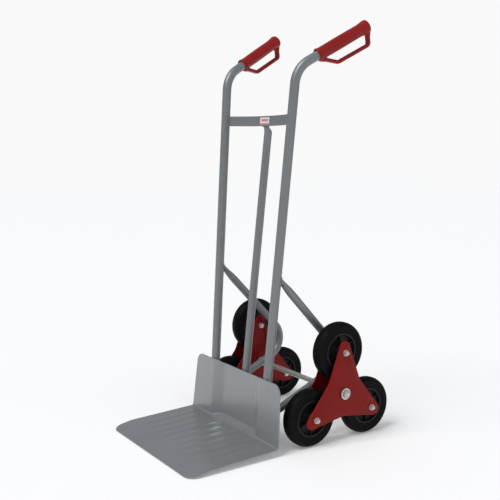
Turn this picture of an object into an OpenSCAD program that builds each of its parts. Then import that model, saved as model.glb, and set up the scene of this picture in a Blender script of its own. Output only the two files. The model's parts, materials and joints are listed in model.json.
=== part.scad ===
// Stair-climbing sack truck: welded tube frame, pressed toe plate and two
// three-wheel clusters that turn freely on one fixed axle.
// +Z is up, -Y is the front (toe plate), +Y the rear (wheels and grips), and +X
// the right side. The origin is on the floor under the middle of the truck.

/* [Toe plate] */
// Full width of the toe plate
plate_w = 442; // [430:1:448]
// Depth from the bend to the front edge
plate_depth = 268; // [255:1:280]
// Height of the wall behind the load, along its lean
wall_h = 166; // [160:1:172]
// Height of the loading face above the floor at the bend
bend_z = 21; // [19:0.5:23]
// Height of the loading face above the floor where the front lip starts
lip_z = 14; // [12:0.5:16]
// Depth of the down-turned front lip
lip_depth = 59; // [50:1:65]
// Thickness of the sheet
sheet_t = 3; // [2.5:0.1:3.5]
// How far the middle of the wall is pressed back between the uprights
recess = 17; // [14:1:18]
// Number of stiffening ribs in the loading face
rib_count = 10; // [6:1:12]

/* [Uprights] */
// Diameter of the two uprights
tube_d = 25; // [24:0.5:26]
// Wall thickness of every tube
tube_t = 2; // [1.5:0.5:2.5]
// Lean of the uprights and of the wall from vertical, in degrees
lean = 4.5; // [3.5:0.1:5]
// Outward splay of each upright, in degrees
splay = 2.2; // [2:0.1:2.5]
// Distance of each upright's foot from the middle, at floor level
foot_x = 125; // [123:0.5:126]
// Length along the upright to the corner where the handle turns back
corner_l = 1011; // [960:1:1040]
// Bending radius of the handles
handle_bend_r = 75; // [60:1:90]
// Slope of the handles above horizontal, in degrees
handle_slope = 29.5; // [25:0.5:33]
// Outward turn of the handles, in degrees
handle_splay = 10.6; // [8:0.1:12]

/* [Grips] */
// Distance from the handle's corner to the mouth of the grip
grip_start = 70; // [66:1:74]
// Length of the grip
grip_l = 169; // [165:1:175]
// Diameter of the grip
grip_d = 33; // [31:0.5:35]
// Width of the knuckle guard, across the grip
guard_w = 16; // [12:1:20]
// Thickness of the knuckle guard's strap
guard_t = 8; // [6:0.5:9]

/* [Crossbar and centre tube] */
// Height of the middle of the crossbar
bar_z = 878; // [865:1:890]
// Height of the crossbar's strip
bar_h = 28; // [25:1:30]
// Thickness of the crossbar's strip
bar_t = 4; // [3:0.5:5]
// How far the middle of the crossbar bows to the rear
bar_bow = 28; // [24:1:30]
// Diameter of the centre tube
centre_d = 22; // [20:0.5:22]
// Height of the centre tube's lower end
centre_foot_z = 60; // [58:1:70]

/* [Side braces and axle] */
// Diameter of the bent side braces
brace_d = 22; // [20:0.5:24]
// Bending radius of the side braces
brace_bend_r = 58; // [54:1:62]
// Height at which a brace meets the upright
brace_top_z = 464; // [450:1:475]
// Fall of the brace's upper leg, in degrees below horizontal
brace_slope = 46.5; // [45:0.5:48]
// Rise of the brace's lower leg towards the rear, in degrees
arm_slope = 24.2; // [23:0.1:26]
// Diameter of the axle
axle_d = 15; // [14.5:0.5:15]
// Distance from the toe plate's bend back to the axle
axle_setback = 216; // [214:1:222]

/* [Wheel clusters] */
// Distance from the axle to each wheel bolt
arm_r = 114; // [112:1:116]
// Distance from the middle of the truck to the middle of a cluster
cluster_x = 200; // [198:1:205]
// Clear gap between a cluster's two star plates
plate_gap = 60; // [60:0.5:62]
// Thickness of the star plates
plate_t = 3; // [2.5:0.5:3]
// Depth of the rim that is folded in round each star plate
flange = 2.5; // [2:0.5:6]
// Distance from the axle to the tip of an arm
tip_reach = 146; // [144:1:147]
// Radius of an arm's rounded tip
tip_r = 18; // [17:1:20]
// Distance from the axle to the waist between two arms
waist_r = 64; // [60:1:68]

/* [Wheels] */
// Outer diameter of the tyres
wheel_d = 160; // [156:1:161]
// Width of the tyres
tyre_w = 38; // [36:1:38]
// Outer diameter of the rims, which the tyres sit on
rim_d = 104; // [100:1:108]
// Diameter of the spacer sleeves that the wheels turn on
sleeve_d = 16; // [15:0.5:16]

/* [Hidden] */
$fn = 64;
SIDES = ["right", "left"];
PLACES = ["top", "front", "rear"];

frame_paint = [0.50, 0.52, 0.54];
plate_paint = [0.52, 0.54, 0.55];
star_red = [0.62, 0.10, 0.09];
grip_red = [0.66, 0.09, 0.09];
zinc = [0.74, 0.74, 0.70];
black_rubber = [0.09, 0.09, 0.09];
black_plastic = [0.06, 0.06, 0.065];
bush_plastic = [0.30, 0.30, 0.31];
label_white = [0.88, 0.86, 0.86];

// Gaps between parts that touch without a fit
weld_gap = 0.1;
loose_gap = 0.2;
// Radial clearance of every running fit
running_gap = 0.05;

tube_r = tube_d / 2;
brace_r = brace_d / 2;
centre_r = centre_d / 2;
axle_r = axle_d / 2;
wheel_r = wheel_d / 2;

// The lower two wheels of a cluster stand on the floor
axle_z = wheel_r + arm_r * sin(30);
rear_reach = axle_setback + arm_r * cos(30) + wheel_r;
// The bend of the toe plate, placed so that the truck's depth is centred on Y = 0
bend_y = (plate_depth - rear_reach) / 2;
axle_y = bend_y + axle_setback;

// Depth of an upright's centre line behind the bend, at floor level, so that the
// upright lies against the wall's rear face
tube_offset = (sheet_t + tube_r + weld_gap) / cos(lean) - bend_z * tan(lean);
handle_turn = 90 - lean - handle_slope;
handle_tangent = handle_bend_r * tan(handle_turn / 2);

function upright_y(z) = tube_offset + z * tan(lean);
function upright_x(z) = foot_x + z * tan(splay);

// ---- placing ----

// Draws a right-hand part where it is, or mirrored for the left side
module on_side(side) {
    if (side == "right") children();
    else mirror([1, 0, 0]) children();
}

// A side's own plane: Y runs back from the bend, and Z up along the splay
module side_plane() {
    translate([foot_x, bend_y, 0]) rotate([0, splay, 0]) children();
}

// Z runs along an upright, within the side plane
module upright_axis() {
    translate([0, tube_offset, 0]) rotate([-lean, 0, 0]) children();
}

// Z runs along a handle from its corner, and Y down towards the guard
module handle_axis() {
    side_plane() upright_axis() translate([0, 0, corner_l])
        rotate([0, 0, -handle_splay]) rotate([-handle_turn, 0, 0]) children();
}

// Extrudes an outline drawn in Y and Z along X, to both sides of the middle
module across(width) {
    rotate([90, 0, 90]) linear_extrude(width, center = true) children();
}

// A cluster's own frame: X and Y lie in the star plates, and Z points outward
module cluster() {
    translate([cluster_x, axle_y, axle_z]) rotate([90, 0, 90]) children();
}

function place_angle(place) = place == "top" ? 90 : place == "front" ? 210 : 330;

module at_wheel(place) {
    cluster() rotate([0, 0, place_angle(place)]) translate([arm_r, 0, 0]) children();
}

module at_wheels() {
    for (place = PLACES) at_wheel(place) children();
}

// ---- shapes that repeat ----

// A ring from z0 to z1
module ring(r_out, r_in, z0, z1) {
    translate([0, 0, z0]) difference() {
        cylinder(r = r_out, h = z1 - z0);
        translate([0, 0, -1]) cylinder(r = r_in, h = z1 - z0 + 2);
    }
}

// Points along an arc, from one angle to another
function arc(centre, r, from, to, steps = 8) =
    [for (i = [0 : steps]) let (a = from + (to - from) * i / steps)
        centre + r * [cos(a), sin(a)]];

// Each point of a path moved sideways by a distance, with mitred corners
function beside(points, shift) =
    let (last = len(points) - 1)
    let (unit = [for (i = [0 : last - 1]) (points[i + 1] - points[i])
        / norm(points[i + 1] - points[i])])
    [for (i = [0 : last])
        let (u = unit[max(i - 1, 0)], v = unit[min(i, last - 1)])
        points[i] + shift * [-u.y - v.y, u.x + v.x] / (1 + u * v)];

function backwards(points) = [for (i = [len(points) - 1 : -1 : 0]) points[i]];

// A strap of even thickness along a list of points
module strap(points, t) {
    polygon(concat(beside(points, t / 2), backwards(beside(points, -t / 2))));
}

// A round tube along a path in the YZ plane. Each stop of the path is [Y, Z, heading],
// and a heading of 0 is up and of 90 is back. A cut is [point, angle], the axis of a
// round post that the tube's end is shaped to fit, or undef for a square end.
tube_sides = 24;

function direction(heading) = [sin(heading), cos(heading)];

// A point of the tube's surface: across is along X and above is square to the heading
function on_tube(stop, r, turn) =
    let (h = stop[2], above = r * sin(turn))
    [r * cos(turn), stop.x + above * cos(h), stop.y - above * sin(h)];

// Moves a point of the tube's end along the tube until it meets the post
function cut_to(point, heading, cut, post_r) =
    let (d = direction(heading), u = direction(cut[1]))
    let (n = [u.y, -u.x], from = [point.y, point.z] - cut[0])
    let (s = (sqrt(post_r * post_r - point.x * point.x) - from * n) / (d * n))
    [point.x, point.y + s * d.x, point.z + s * d.y];

function tube_ring(stop, r, cut, post_r) =
    [for (i = [0 : tube_sides - 1]) let (p = on_tube(stop, r, i * 360 / tube_sides))
        cut == undef ? p : cut_to(p, stop[2], cut, post_r)];

module bent_tube(r, stops, start_cut, end_cut, post_r) {
    last = len(stops) - 1;
    n = tube_sides;
    rings = [for (size = [r, r - tube_t]) for (k = [0 : last]) tube_ring(stops[k], size,
        k == 0 ? start_cut : k == last ? end_cut : undef, post_r)];
    inner = (last + 1) * n;
    next = [for (i = [0 : n - 1]) (i + 1) % n];
    sides = [for (k = [0 : last - 1]) for (i = [0 : n - 1])
        let (a = k * n + i, b = k * n + next[i])
        each [[a, a + n, b + n, b], [inner + a, inner + b, inner + b + n, inner + a + n]]];
    start_cap = [for (i = [0 : n - 1]) let (a = i, b = next[i])
        each [[a, b, inner + b], [a, inner + b, inner + a]]];
    end_cap = [for (i = [0 : n - 1]) let (a = last * n + i, b = last * n + next[i])
        each [[a, inner + b, b], [a, inner + a, inner + b]]];
    polyhedron([for (ring = rings) each ring], concat(sides, start_cap, end_cap));
}

// Stops round a bend, from one heading to another; to_rear tells which way it turns
function bend(centre, r, from, to, steps) =
    let (out = to > from ? -1 : 1)
    [for (i = [0 : steps]) let (h = from + (to - from) * i / steps)
        [centre.x + out * r * cos(h), centre.y - out * r * sin(h), h]];

// A straight round tube from one point to another in the YZ plane
module tube_yz(r, from, to) {
    run = to - from;
    translate([0, from.x, from.y]) rotate([-atan2(run.x, run.y), 0, 0])
        ring(r, r - tube_t, 0, norm(run));
}

// A hexagon nut with its locking collar, from z0 outwards
module lock_nut(flats, bore_r, z0, height, collar) {
    difference() {
        union() {
            translate([0, 0, z0]) cylinder(d = flats / cos(30), h = height, $fn = 6);
            translate([0, 0, z0]) cylinder(d = flats * 0.84, h = height + collar);
        }
        translate([0, 0, z0 - 1]) cylinder(r = bore_r, h = height + collar + 2);
    }
}

// ---- toe plate ----

step_out = 114;
step_in = 84;
bevel_z0 = 1.5;
bevel_rise = 0.5;
mid_drop = 7;
front_r = 30;
top_r = 26;
wall_taper = 11;
wall_inset = 0.5;
rib_r = 10;
rib_h = 1.6;
rib_pitch = 38;
rib_y0 = 20;
// How far a shape that cuts another reaches past it
past = 10;
floor_slope = atan((bend_z - lip_z) / (plate_depth - lip_depth));

// The hollow pressed into the front of the wall's middle: sloped at both sides and
// at its foot, for a wall whose front face lies back from the bend by a distance
module pocket(back) {
    mouth = step_out + past * (step_out - step_in) / recess;
    tall = wall_h + 2 * past;
    foot = bevel_z0 - back * (norm([1, bevel_rise]) - bevel_rise);
    intersection() {
        translate([0, 0, -past]) linear_extrude(tall) polygon([
            [-mouth, back - past], [-step_in, back + recess],
            [step_in, back + recess], [mouth, back - past]]);
        across(3 * mouth) polygon([
            [back - past, foot - past * bevel_rise],
            [back + recess + past, foot + (recess + past) * bevel_rise],
            [back + recess + past, tall], [back - past, tall]]);
    }
}

// Everything behind the wall's front face, to a depth
module behind_wall(back, depth) {
    side = plate_w / 2 + back;
    difference() {
        translate([-side, back, -past - back])
            cube([2 * side, depth - back, wall_h + 2 * past]);
        pocket(back);
    }
}

// The wall's outline, drawn in X and Z
module wall_outline() {
    side = plate_w / 2 - wall_inset;
    right = concat(
        [[side, wall_inset - sheet_t]],
        arc([side - wall_taper - top_r, wall_h - top_r], top_r, 0, 90),
        [[step_out, wall_h], [step_in, wall_h - mid_drop]]);
    polygon(concat(right, [for (p = backwards(right)) [-p.x, p.y]]));
}

module wall() {
    translate([0, bend_y, bend_z]) rotate([-lean, 0, 0]) intersection() {
        difference() {
            behind_wall(0, recess + sheet_t + past);
            behind_wall(sheet_t, recess + sheet_t + 2 * past);
        }
        rotate([90, 0, 0]) linear_extrude(8 * past, center = true) wall_outline();
    }
}

// The sheet of the loading face and its front lip, which starts inside the wall
module loading_face() {
    kink_y = lip_depth - plate_depth;
    rear = sheet_t / 2;
    rise = rear * tan(floor_slope);
    drop = past * (lip_z - sheet_t) / lip_depth;
    side = plate_w / 2;
    right = concat(
        arc([side - front_r, front_r - plate_depth], front_r, -90, 0),
        [[side, past]]);
    intersection() {
        translate([0, bend_y, 0]) across(plate_w + past) polygon([
            [rear, bend_z + rise], [kink_y, lip_z], [-plate_depth - past, sheet_t - drop],
            [-plate_depth - past, -drop], [kink_y, lip_z - sheet_t],
            [rear, bend_z + rise - sheet_t]]);
        translate([0, bend_y, -past]) linear_extrude(bend_z + 2 * past)
            polygon(concat(right, [for (p = backwards(right)) [-p.x, p.y]]));
    }
}

module rib() {
    length = plate_depth - lip_depth - 2 * rib_y0;
    rotate([90, 0, 0]) linear_extrude(length) intersection() {
        translate([0, rib_h - rib_r]) circle(rib_r);
        translate([-rib_r, -1]) square([2 * rib_r, rib_h + 2]);
    }
}

module toe_plate() {
    color(plate_paint) {
        wall();
        loading_face();
        for (i = [0 : rib_count - 1])
            translate([(i - (rib_count - 1) / 2) * rib_pitch, bend_y, bend_z])
                rotate([floor_slope, 0, 0]) translate([0, -rib_y0, 0]) rib();
    }
}

// ---- frame tubes ----

upright_foot = 22;
tube_end_gap = 8;

module upright() {
    straight = corner_l - handle_tangent;
    length = grip_start + grip_l - tube_end_gap;
    end = [0, corner_l] + length * direction(handle_turn);
    color(frame_paint) side_plane() upright_axis() rotate([0, 0, -handle_splay])
        bent_tube(tube_r, concat(
            [[0, upright_foot, 0]],
            bend([handle_bend_r, straight], handle_bend_r, 0, handle_turn, 7),
            [[end.x, end.y, handle_turn]]));
}

// The solid that a tube welded to an upright is cut to fit
module upright_cutter() {
    side_plane() upright_axis() cylinder(r = tube_r + weld_gap, h = corner_l);
}

module grip() {
    end = grip_start + grip_l;
    cap_l = 8;
    cap_r = grip_d / 2 + 1;
    wall_end = end - tube_end_gap + 1;
    color(grip_red) handle_axis() difference() {
        union() {
            translate([0, 0, grip_start]) cylinder(d = grip_d, h = grip_l - 2);
            translate([0, 0, grip_start]) cylinder(r = cap_r, h = 4);
            translate([0, 0, end - cap_l]) cylinder(r = cap_r, h = cap_l - 3);
            translate([0, 0, end - 3]) cylinder(r1 = cap_r, r2 = cap_r - 3, h = 3);
            across(guard_w) strap([
                [14, grip_start + 8], [43, grip_start + 46], [45, grip_start + 138],
                [32, end - 14], [14, end - 6]], guard_t);
        }
        cylinder(r = tube_r + weld_gap, h = wall_end);
    }
}

// A brace falls from the upright, bends round and runs forward over the axle to the
// upright's foot. It is worked out in the side plane, where the axle is seen end on.
module side_brace() {
    top = [upright_y(brace_top_z), brace_top_z];
    fall = [cos(brace_slope), -sin(brace_slope)];
    rise = [cos(arm_slope), sin(arm_slope)];
    reach = brace_r + axle_r + 2 * weld_gap;
    over_axle = [axle_setback, axle_z] + reach * [-rise.y, rise.x];
    // The corner where the lines of the two legs meet
    gap = over_axle - top;
    along_fall = (gap.x * rise.y - gap.y * rise.x) / (fall.x * rise.y - fall.y * rise.x);
    corner = top + along_fall * fall;
    tangent = brace_bend_r / tan((brace_slope + arm_slope) / 2);
    centre = corner - tangent * fall + brace_bend_r * [fall.y, -fall.x];
    // Where the lower leg's line crosses the upright's axis
    foot_l = (over_axle.x - upright_y(over_axle.y)) / (rise.x - rise.y * tan(lean));
    foot = over_axle - foot_l * rise;
    fall_heading = 90 + brace_slope;
    back_heading = 270 - arm_slope;
    post = [[tube_offset, 0], lean];
    color(frame_paint) side_plane() bent_tube(brace_r, concat(
        [[top.x, top.y, fall_heading]],
        bend(centre, brace_bend_r, fall_heading, back_heading, 12),
        [[foot.x, foot.y, back_heading]]), post, post, tube_r + weld_gap);
}

// ---- crossbar, label and centre tube ----

bar_half = upright_x(bar_z);
bar_r = (bar_half * bar_half + bar_bow * bar_bow) / (2 * bar_bow);
label_w = 46;
label_h = 20;
label_t = 0.6;
tongue_t = 5;
tongue_w = 24;

// A curved strip on the crossbar's arc, of a given length round it
module bowed_strip(r, t, height, length) {
    half = asin(length / 2 / bar_r);
    translate([0, bend_y + upright_y(bar_z), bar_z]) rotate([-lean, 0, 0])
        translate([0, bar_bow - bar_r, 0]) rotate([0, 0, 90 - half])
        rotate_extrude(angle = 2 * half) translate([r, -height / 2]) square([t, height]);
}

module crossbar() {
    color(frame_paint) difference() {
        bowed_strip(bar_r, bar_t, bar_h, 2 * bar_half);
        upright_cutter();
        mirror([1, 0, 0]) upright_cutter();
    }
}

module label_plate() {
    color(label_white) bowed_strip(bar_r - label_t, label_t, label_h, label_w);
}

// The tube stands on the rear face of the wall and ends in a flat tongue on the bar
module centre_tube() {
    wall_rear = recess + sheet_t + (centre_foot_z - bend_z) * tan(lean);
    foot = [wall_rear + centre_r + 2 * weld_gap, centre_foot_z];
    bar_rear = upright_y(bar_z) + bar_bow + bar_t + weld_gap;
    top_z = bar_z - bar_h / 2 - 8;
    top = [bar_rear + 0.6 * centre_r, top_z];
    tongue_top = bar_z + bar_h / 2 - 3;
    tongue_y0 = bar_rear + (top_z - bar_z) * tan(lean);
    tongue_y1 = bar_rear + (tongue_top - bar_z) * tan(lean);
    color(frame_paint) translate([0, bend_y, 0]) {
        tube_yz(centre_r, foot, top);
        across(tongue_w) polygon([
            [tongue_y0 + 0.5, top_z - 3], [tongue_y0 + tongue_t * 3, top_z - 3],
            [tongue_y0 + tongue_t * 3, top_z + 2], [tongue_y0 + tongue_t, top_z + 14],
            [tongue_y1 + tongue_t, tongue_top], [tongue_y1, tongue_top]]);
    }
}

// ---- axle and its fasteners, stacked outward from a star plate ----

bush_flange = 2;
shoulder = plate_gap / 2 + plate_t + bush_flange + 0.3;
outer_washer_t = 2;
inner_washer_t = 2.5;
collar_l = 8;
axle_nut_h = 7;
axle_nut_collar = 1.5;
stud_r = 6;
stud_l = outer_washer_t + axle_nut_h + axle_nut_collar + 1;

module axle() {
    color(zinc) translate([0, axle_y, axle_z]) rotate([0, 90, 0]) {
        half = cluster_x + shoulder;
        translate([0, 0, -half]) cylinder(r = axle_r, h = 2 * half);
        translate([0, 0, -half - stud_l]) cylinder(r = stud_r, h = 2 * (half + stud_l));
    }
}

module both_ends() {
    for (side = SIDES) on_side(side) cluster() children();
}

module axle_collars() {
    z1 = -shoulder - inner_washer_t;
    color(zinc) both_ends() ring(12, axle_r + 0.02, z1 - collar_l, z1);
}

module axle_inner_washers() {
    color(zinc) both_ends()
        ring(15, axle_r + loose_gap, -shoulder - inner_washer_t, -shoulder);
}

module axle_outer_washers() {
    color(zinc) both_ends()
        ring(16, stud_r + loose_gap, shoulder, shoulder + outer_washer_t);
}

module axle_nuts() {
    color(zinc) both_ends()
        lock_nut(19, stud_r + 0.02, shoulder + outer_washer_t, axle_nut_h, axle_nut_collar);
}

// ---- wheel clusters ----

hub_r = 15;
bush_r = 10;
hub_bush_l = 22;
bolt_r = 4;
bolt_flats = 13;
bolt_head_h = 5.3;
washer_t = 1.6;
washer_r = 8.5;
nut_h = 6.5;
nut_collar = 1.5;
plate_face = plate_gap / 2 + plate_t;

function turned(p, a) = [p.x * cos(a) - p.y * sin(a), p.x * sin(a) + p.y * cos(a)];

// The star's outline, drawn in by a distance
module star(inset) {
    c = [tip_reach - tip_r, 0];
    w = waist_r * [cos(60), sin(60)];
    run = c - w;
    edge = atan2(run.y, run.x) + asin(tip_r / norm(run));
    tangent_l = sqrt(run * run - tip_r * tip_r);
    waist = (waist_r - inset / sin(60 - edge)) * [cos(60), sin(60)];
    normal = [-sin(edge), cos(edge)];
    touch = w + tangent_l * [cos(edge), sin(edge)] - inset * normal;
    polygon([for (place = PLACES, p = [[touch.x, -touch.y], touch, waist])
        turned(p, place_angle(place))]);
    for (place = PLACES) rotate(place_angle(place)) translate(c) circle(tip_r - inset);
}

// A star plate with its folded rim on the wheel side, below Z = 0
module star_plate() {
    difference() {
        translate([0, 0, -flange]) linear_extrude(flange + plate_t) star(0);
        translate([0, 0, -flange - 1]) linear_extrude(flange + 1) star(plate_t);
        translate([0, 0, -1]) cylinder(r = bush_r + loose_gap, h = plate_t + 2);
        for (place = PLACES) rotate(place_angle(place)) translate([arm_r, 0, -1])
            cylinder(r = bolt_r + loose_gap, h = plate_t + 2);
    }
}

module star_plate_outer() {
    color(star_red) cluster() translate([0, 0, plate_gap / 2]) star_plate();
}

module star_plate_inner() {
    color(star_red) cluster() mirror([0, 0, 1]) translate([0, 0, plate_gap / 2]) star_plate();
}

module hub_tube() {
    color(star_red) cluster() ring(hub_r, bush_r + loose_gap, -plate_gap / 2, plate_gap / 2);
}

module hub_bushes() {
    color(bush_plastic) cluster() for (s = [0, 1]) mirror([0, 0, s]) difference() {
        union() {
            translate([0, 0, plate_face - hub_bush_l]) cylinder(r = bush_r, h = hub_bush_l + 1);
            translate([0, 0, plate_face]) cylinder(r = bush_r + 4, h = bush_flange);
        }
        cylinder(r = axle_r + running_gap, h = plate_gap);
    }
}

module wheel_bolts() {
    end = plate_face + washer_t + nut_h + nut_collar + 2;
    head = plate_face + washer_t;
    color(zinc) at_wheels() {
        translate([0, 0, -head]) cylinder(r = bolt_r, h = head + end);
        translate([0, 0, -head - bolt_head_h])
            cylinder(d = bolt_flats / cos(30), h = bolt_head_h, $fn = 6);
    }
}

module wheel_nuts() {
    color(zinc) at_wheels()
        lock_nut(bolt_flats, bolt_r + 0.02, plate_face + washer_t, nut_h, nut_collar);
}

module wheel_washers() {
    color(zinc) at_wheels() for (s = [0, 1]) mirror([0, 0, s])
        ring(washer_r, bolt_r + loose_gap, plate_face, plate_face + washer_t);
}

module wheel_sleeves() {
    color(zinc) at_wheels()
        ring(sleeve_d / 2, bolt_r + loose_gap, -plate_gap / 2, plate_gap / 2);
}

// ---- wheels ----

rim_r = rim_d / 2;
crown_r = 34;
shoulder_r = 12;
rim_w = 34;
rim_wall = 7;
web_t = 8;
wheel_hub_r = 17;
wheel_hub_w = 54;
wheel_bush_l = 18;
wheel_bush_flange = 2.4;
rim_ribs = 6;

// Half of the tyre's section: tread crown, round shoulder, flat side, bead
function tyre_half() =
    let (c = wheel_r - crown_r, z = tyre_w / 2 - shoulder_r)
    let (turn = asin(z / (crown_r - shoulder_r)))
    let (s = [c + (crown_r - shoulder_r) * cos(turn), z])
    concat(
        [for (a = [0 : 3]) [c + crown_r * cos(a * turn / 3), crown_r * sin(a * turn / 3)]],
        [for (a = [1 : 5]) let (b = turn + a * (90 - turn) / 5)
            s + shoulder_r * [cos(b), sin(b)]],
        [[rim_r + 5, tyre_w / 2], [rim_r, rim_w / 2]]);

module tyre(place) {
    half = tyre_half();
    other = [for (i = [len(half) - 1 : -1 : 1]) [half[i].x, -half[i].y]];
    color(black_rubber) at_wheel(place) rotate_extrude() polygon(concat(half, other));
}

module rim(place) {
    seat_r = rim_r - 0.05;
    color(black_plastic) at_wheel(place) {
        rotate_extrude() {
            translate([bush_r + 0.02, -wheel_hub_w / 2])
                square([wheel_hub_r - bush_r, wheel_hub_w]);
            translate([wheel_hub_r - 1, -web_t / 2])
                square([seat_r - wheel_hub_r - rim_wall / 2, web_t]);
            translate([seat_r - rim_wall, -rim_w / 2]) square([rim_wall, rim_w]);
        }
        for (i = [0 : rim_ribs - 1]) rotate([0, 0, i * 360 / rim_ribs])
            translate([wheel_hub_r - 2, -2, -rim_w / 2 + 4])
            cube([seat_r - rim_wall - wheel_hub_r + 4, 4, rim_w - 8]);
    }
}

module wheel_bushes(place) {
    half = wheel_hub_w / 2;
    color(bush_plastic) at_wheel(place) for (s = [0, 1]) mirror([0, 0, s]) difference() {
        union() {
            translate([0, 0, half - wheel_bush_l]) cylinder(r = bush_r, h = wheel_bush_l + 1);
            translate([0, 0, half]) cylinder(r = bush_r + 3, h = wheel_bush_flange);
        }
        cylinder(r = sleeve_d / 2 + running_gap, h = plate_gap);
    }
}

// ---- nodes ----

toe_plate();
crossbar();
label_plate();
centre_tube();
axle();
axle_collars();
axle_inner_washers();
axle_outer_washers();
axle_nuts();
for (side = SIDES) {
    on_side(side) upright();
    on_side(side) grip();
    on_side(side) side_brace();
    on_side(side) star_plate_outer();
    on_side(side) star_plate_inner();
    on_side(side) hub_tube();
    on_side(side) hub_bushes();
    on_side(side) wheel_bolts();
    on_side(side) wheel_nuts();
    on_side(side) wheel_washers();
    on_side(side) wheel_sleeves();
    for (place = PLACES) {
        on_side(side) tyre(place);
        on_side(side) rim(place);
        on_side(side) wheel_bushes(place);
    }
}
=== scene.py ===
"""Stair-climbing sack truck: meshes, materials and stage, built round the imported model.

Lengths are in metres. +Z is up, -Y is the front (toe plate), +Y the rear and +X the right.
Right-hand shapes are drawn once and mirrored for the left.
"""

import json
import math

import bmesh
import bpy
from bpy.props import FloatProperty, FloatVectorProperty, IntProperty, PointerProperty
from mathutils import Matrix, Vector


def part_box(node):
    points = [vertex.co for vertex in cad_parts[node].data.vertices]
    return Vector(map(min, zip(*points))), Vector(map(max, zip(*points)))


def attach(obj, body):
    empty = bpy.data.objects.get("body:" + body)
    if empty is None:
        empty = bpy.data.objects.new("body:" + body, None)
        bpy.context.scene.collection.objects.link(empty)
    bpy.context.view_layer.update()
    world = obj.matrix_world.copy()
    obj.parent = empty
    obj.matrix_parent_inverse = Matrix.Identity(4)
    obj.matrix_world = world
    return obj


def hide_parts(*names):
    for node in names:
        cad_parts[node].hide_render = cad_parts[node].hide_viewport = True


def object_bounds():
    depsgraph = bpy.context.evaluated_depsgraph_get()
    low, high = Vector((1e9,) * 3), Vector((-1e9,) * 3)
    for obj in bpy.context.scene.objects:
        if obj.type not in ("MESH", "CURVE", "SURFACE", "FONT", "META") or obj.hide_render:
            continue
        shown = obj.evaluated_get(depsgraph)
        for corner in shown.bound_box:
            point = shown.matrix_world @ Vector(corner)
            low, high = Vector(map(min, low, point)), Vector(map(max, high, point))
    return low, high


bl_info = {
    "name": "Stair-climbing sack truck",
    "version": (1, 0, 0),
    "blender": (4, 5, 0),
    "location": "3D View > Sidebar > Sack truck",
    "description": "Builds the meshes, finishes and stage of a stair-climbing sack truck",
    "category": "Object",
}

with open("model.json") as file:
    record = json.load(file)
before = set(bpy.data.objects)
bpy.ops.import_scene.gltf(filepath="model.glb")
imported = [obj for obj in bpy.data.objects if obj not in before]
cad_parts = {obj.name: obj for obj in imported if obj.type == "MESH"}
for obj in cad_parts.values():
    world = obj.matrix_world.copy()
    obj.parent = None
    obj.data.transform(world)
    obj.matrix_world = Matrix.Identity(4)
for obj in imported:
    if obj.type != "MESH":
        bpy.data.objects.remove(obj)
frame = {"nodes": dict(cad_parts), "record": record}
CAD_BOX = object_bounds()

MM = 0.001
SIDES = {"right": 1, "left": -1}
PLACES = {"top": 90, "front": 210, "rear": 330}
ROUND = 72          # points round a fastener or a grip
CHAMFER = 0.96      # a fastener's chamfer circle, as a part of its width across flats
PRESSED = 12.1 * MM  # half the width of a tube's flattened end


def middle(node):
    low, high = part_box(node)
    return (low + high) / 2


def extent(node):
    low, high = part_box(node)
    return high - low


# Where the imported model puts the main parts
AXLE = middle("axle")
WHEEL = middle("tyre_right_top")
HUB = Vector((WHEEL.x, AXLE.y, AXLE.z))
ARM_R = WHEEL.z - AXLE.z
TYRE_R = extent("tyre_right_top").z / 2
TYRE_W = extent("tyre_right_top").x
PLATE_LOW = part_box("toe_plate")[0]


# ---- settings ----


def length(name, description, default):
    return FloatProperty(name=name, description=description, default=default, min=0,
                         unit="LENGTH", precision=4)


def angle(name, description, degrees):
    return FloatProperty(name=name, description=description, default=math.radians(degrees),
                         subtype="ANGLE", unit="ROTATION")


def colour(name, description, default):
    return FloatVectorProperty(name=name, description=description, default=default, min=0,
                               max=1, size=3, subtype="COLOR")


class SackTruckToePlate(bpy.types.PropertyGroup):
    """Sizes of the pressed toe plate"""
    depth: length("Depth", "From the bend to the front edge", 0.268)
    wall: length("Wall", "Length of the wall, along its lean", 0.166)
    bend_z: length("Bend height", "Height of the loading face at the bend", 0.021)
    lip_z: length("Lip height", "Height of the loading face where the lip starts", 0.014)
    lip: length("Lip", "Depth of the front lip", 0.059)
    sheet: length("Sheet", "Thickness of the sheet", 0.003)
    recess: length("Recess", "How far the middle of the wall is pressed back", 0.017)
    step_out: length("Step, outside", "Outer edge of the steps beside the recess", 0.114)
    step_in: length("Step, inside", "Inner edge of the steps beside the recess", 0.084)
    foot: length("Recess foot", "Where the bevel at the recess's foot starts", 0.0015)
    taper: length("Taper", "How much the wall narrows on each side up to its corners", 0.011)
    drop: length("Middle drop", "How much lower the recess's top edge is", 0.007)
    front_r: length("Front corners", "Radius of the front corners", 0.030)
    top_r: length("Top corners", "Radius of the wall's top corners", 0.026)
    ribs: IntProperty(name="Ribs", description="Number of ribs", default=10, min=2)
    rib_pitch: length("Rib pitch", "Distance between ribs", 0.038)
    rib_h: length("Rib height", "Height of the pressed ribs", 0.0019)


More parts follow.
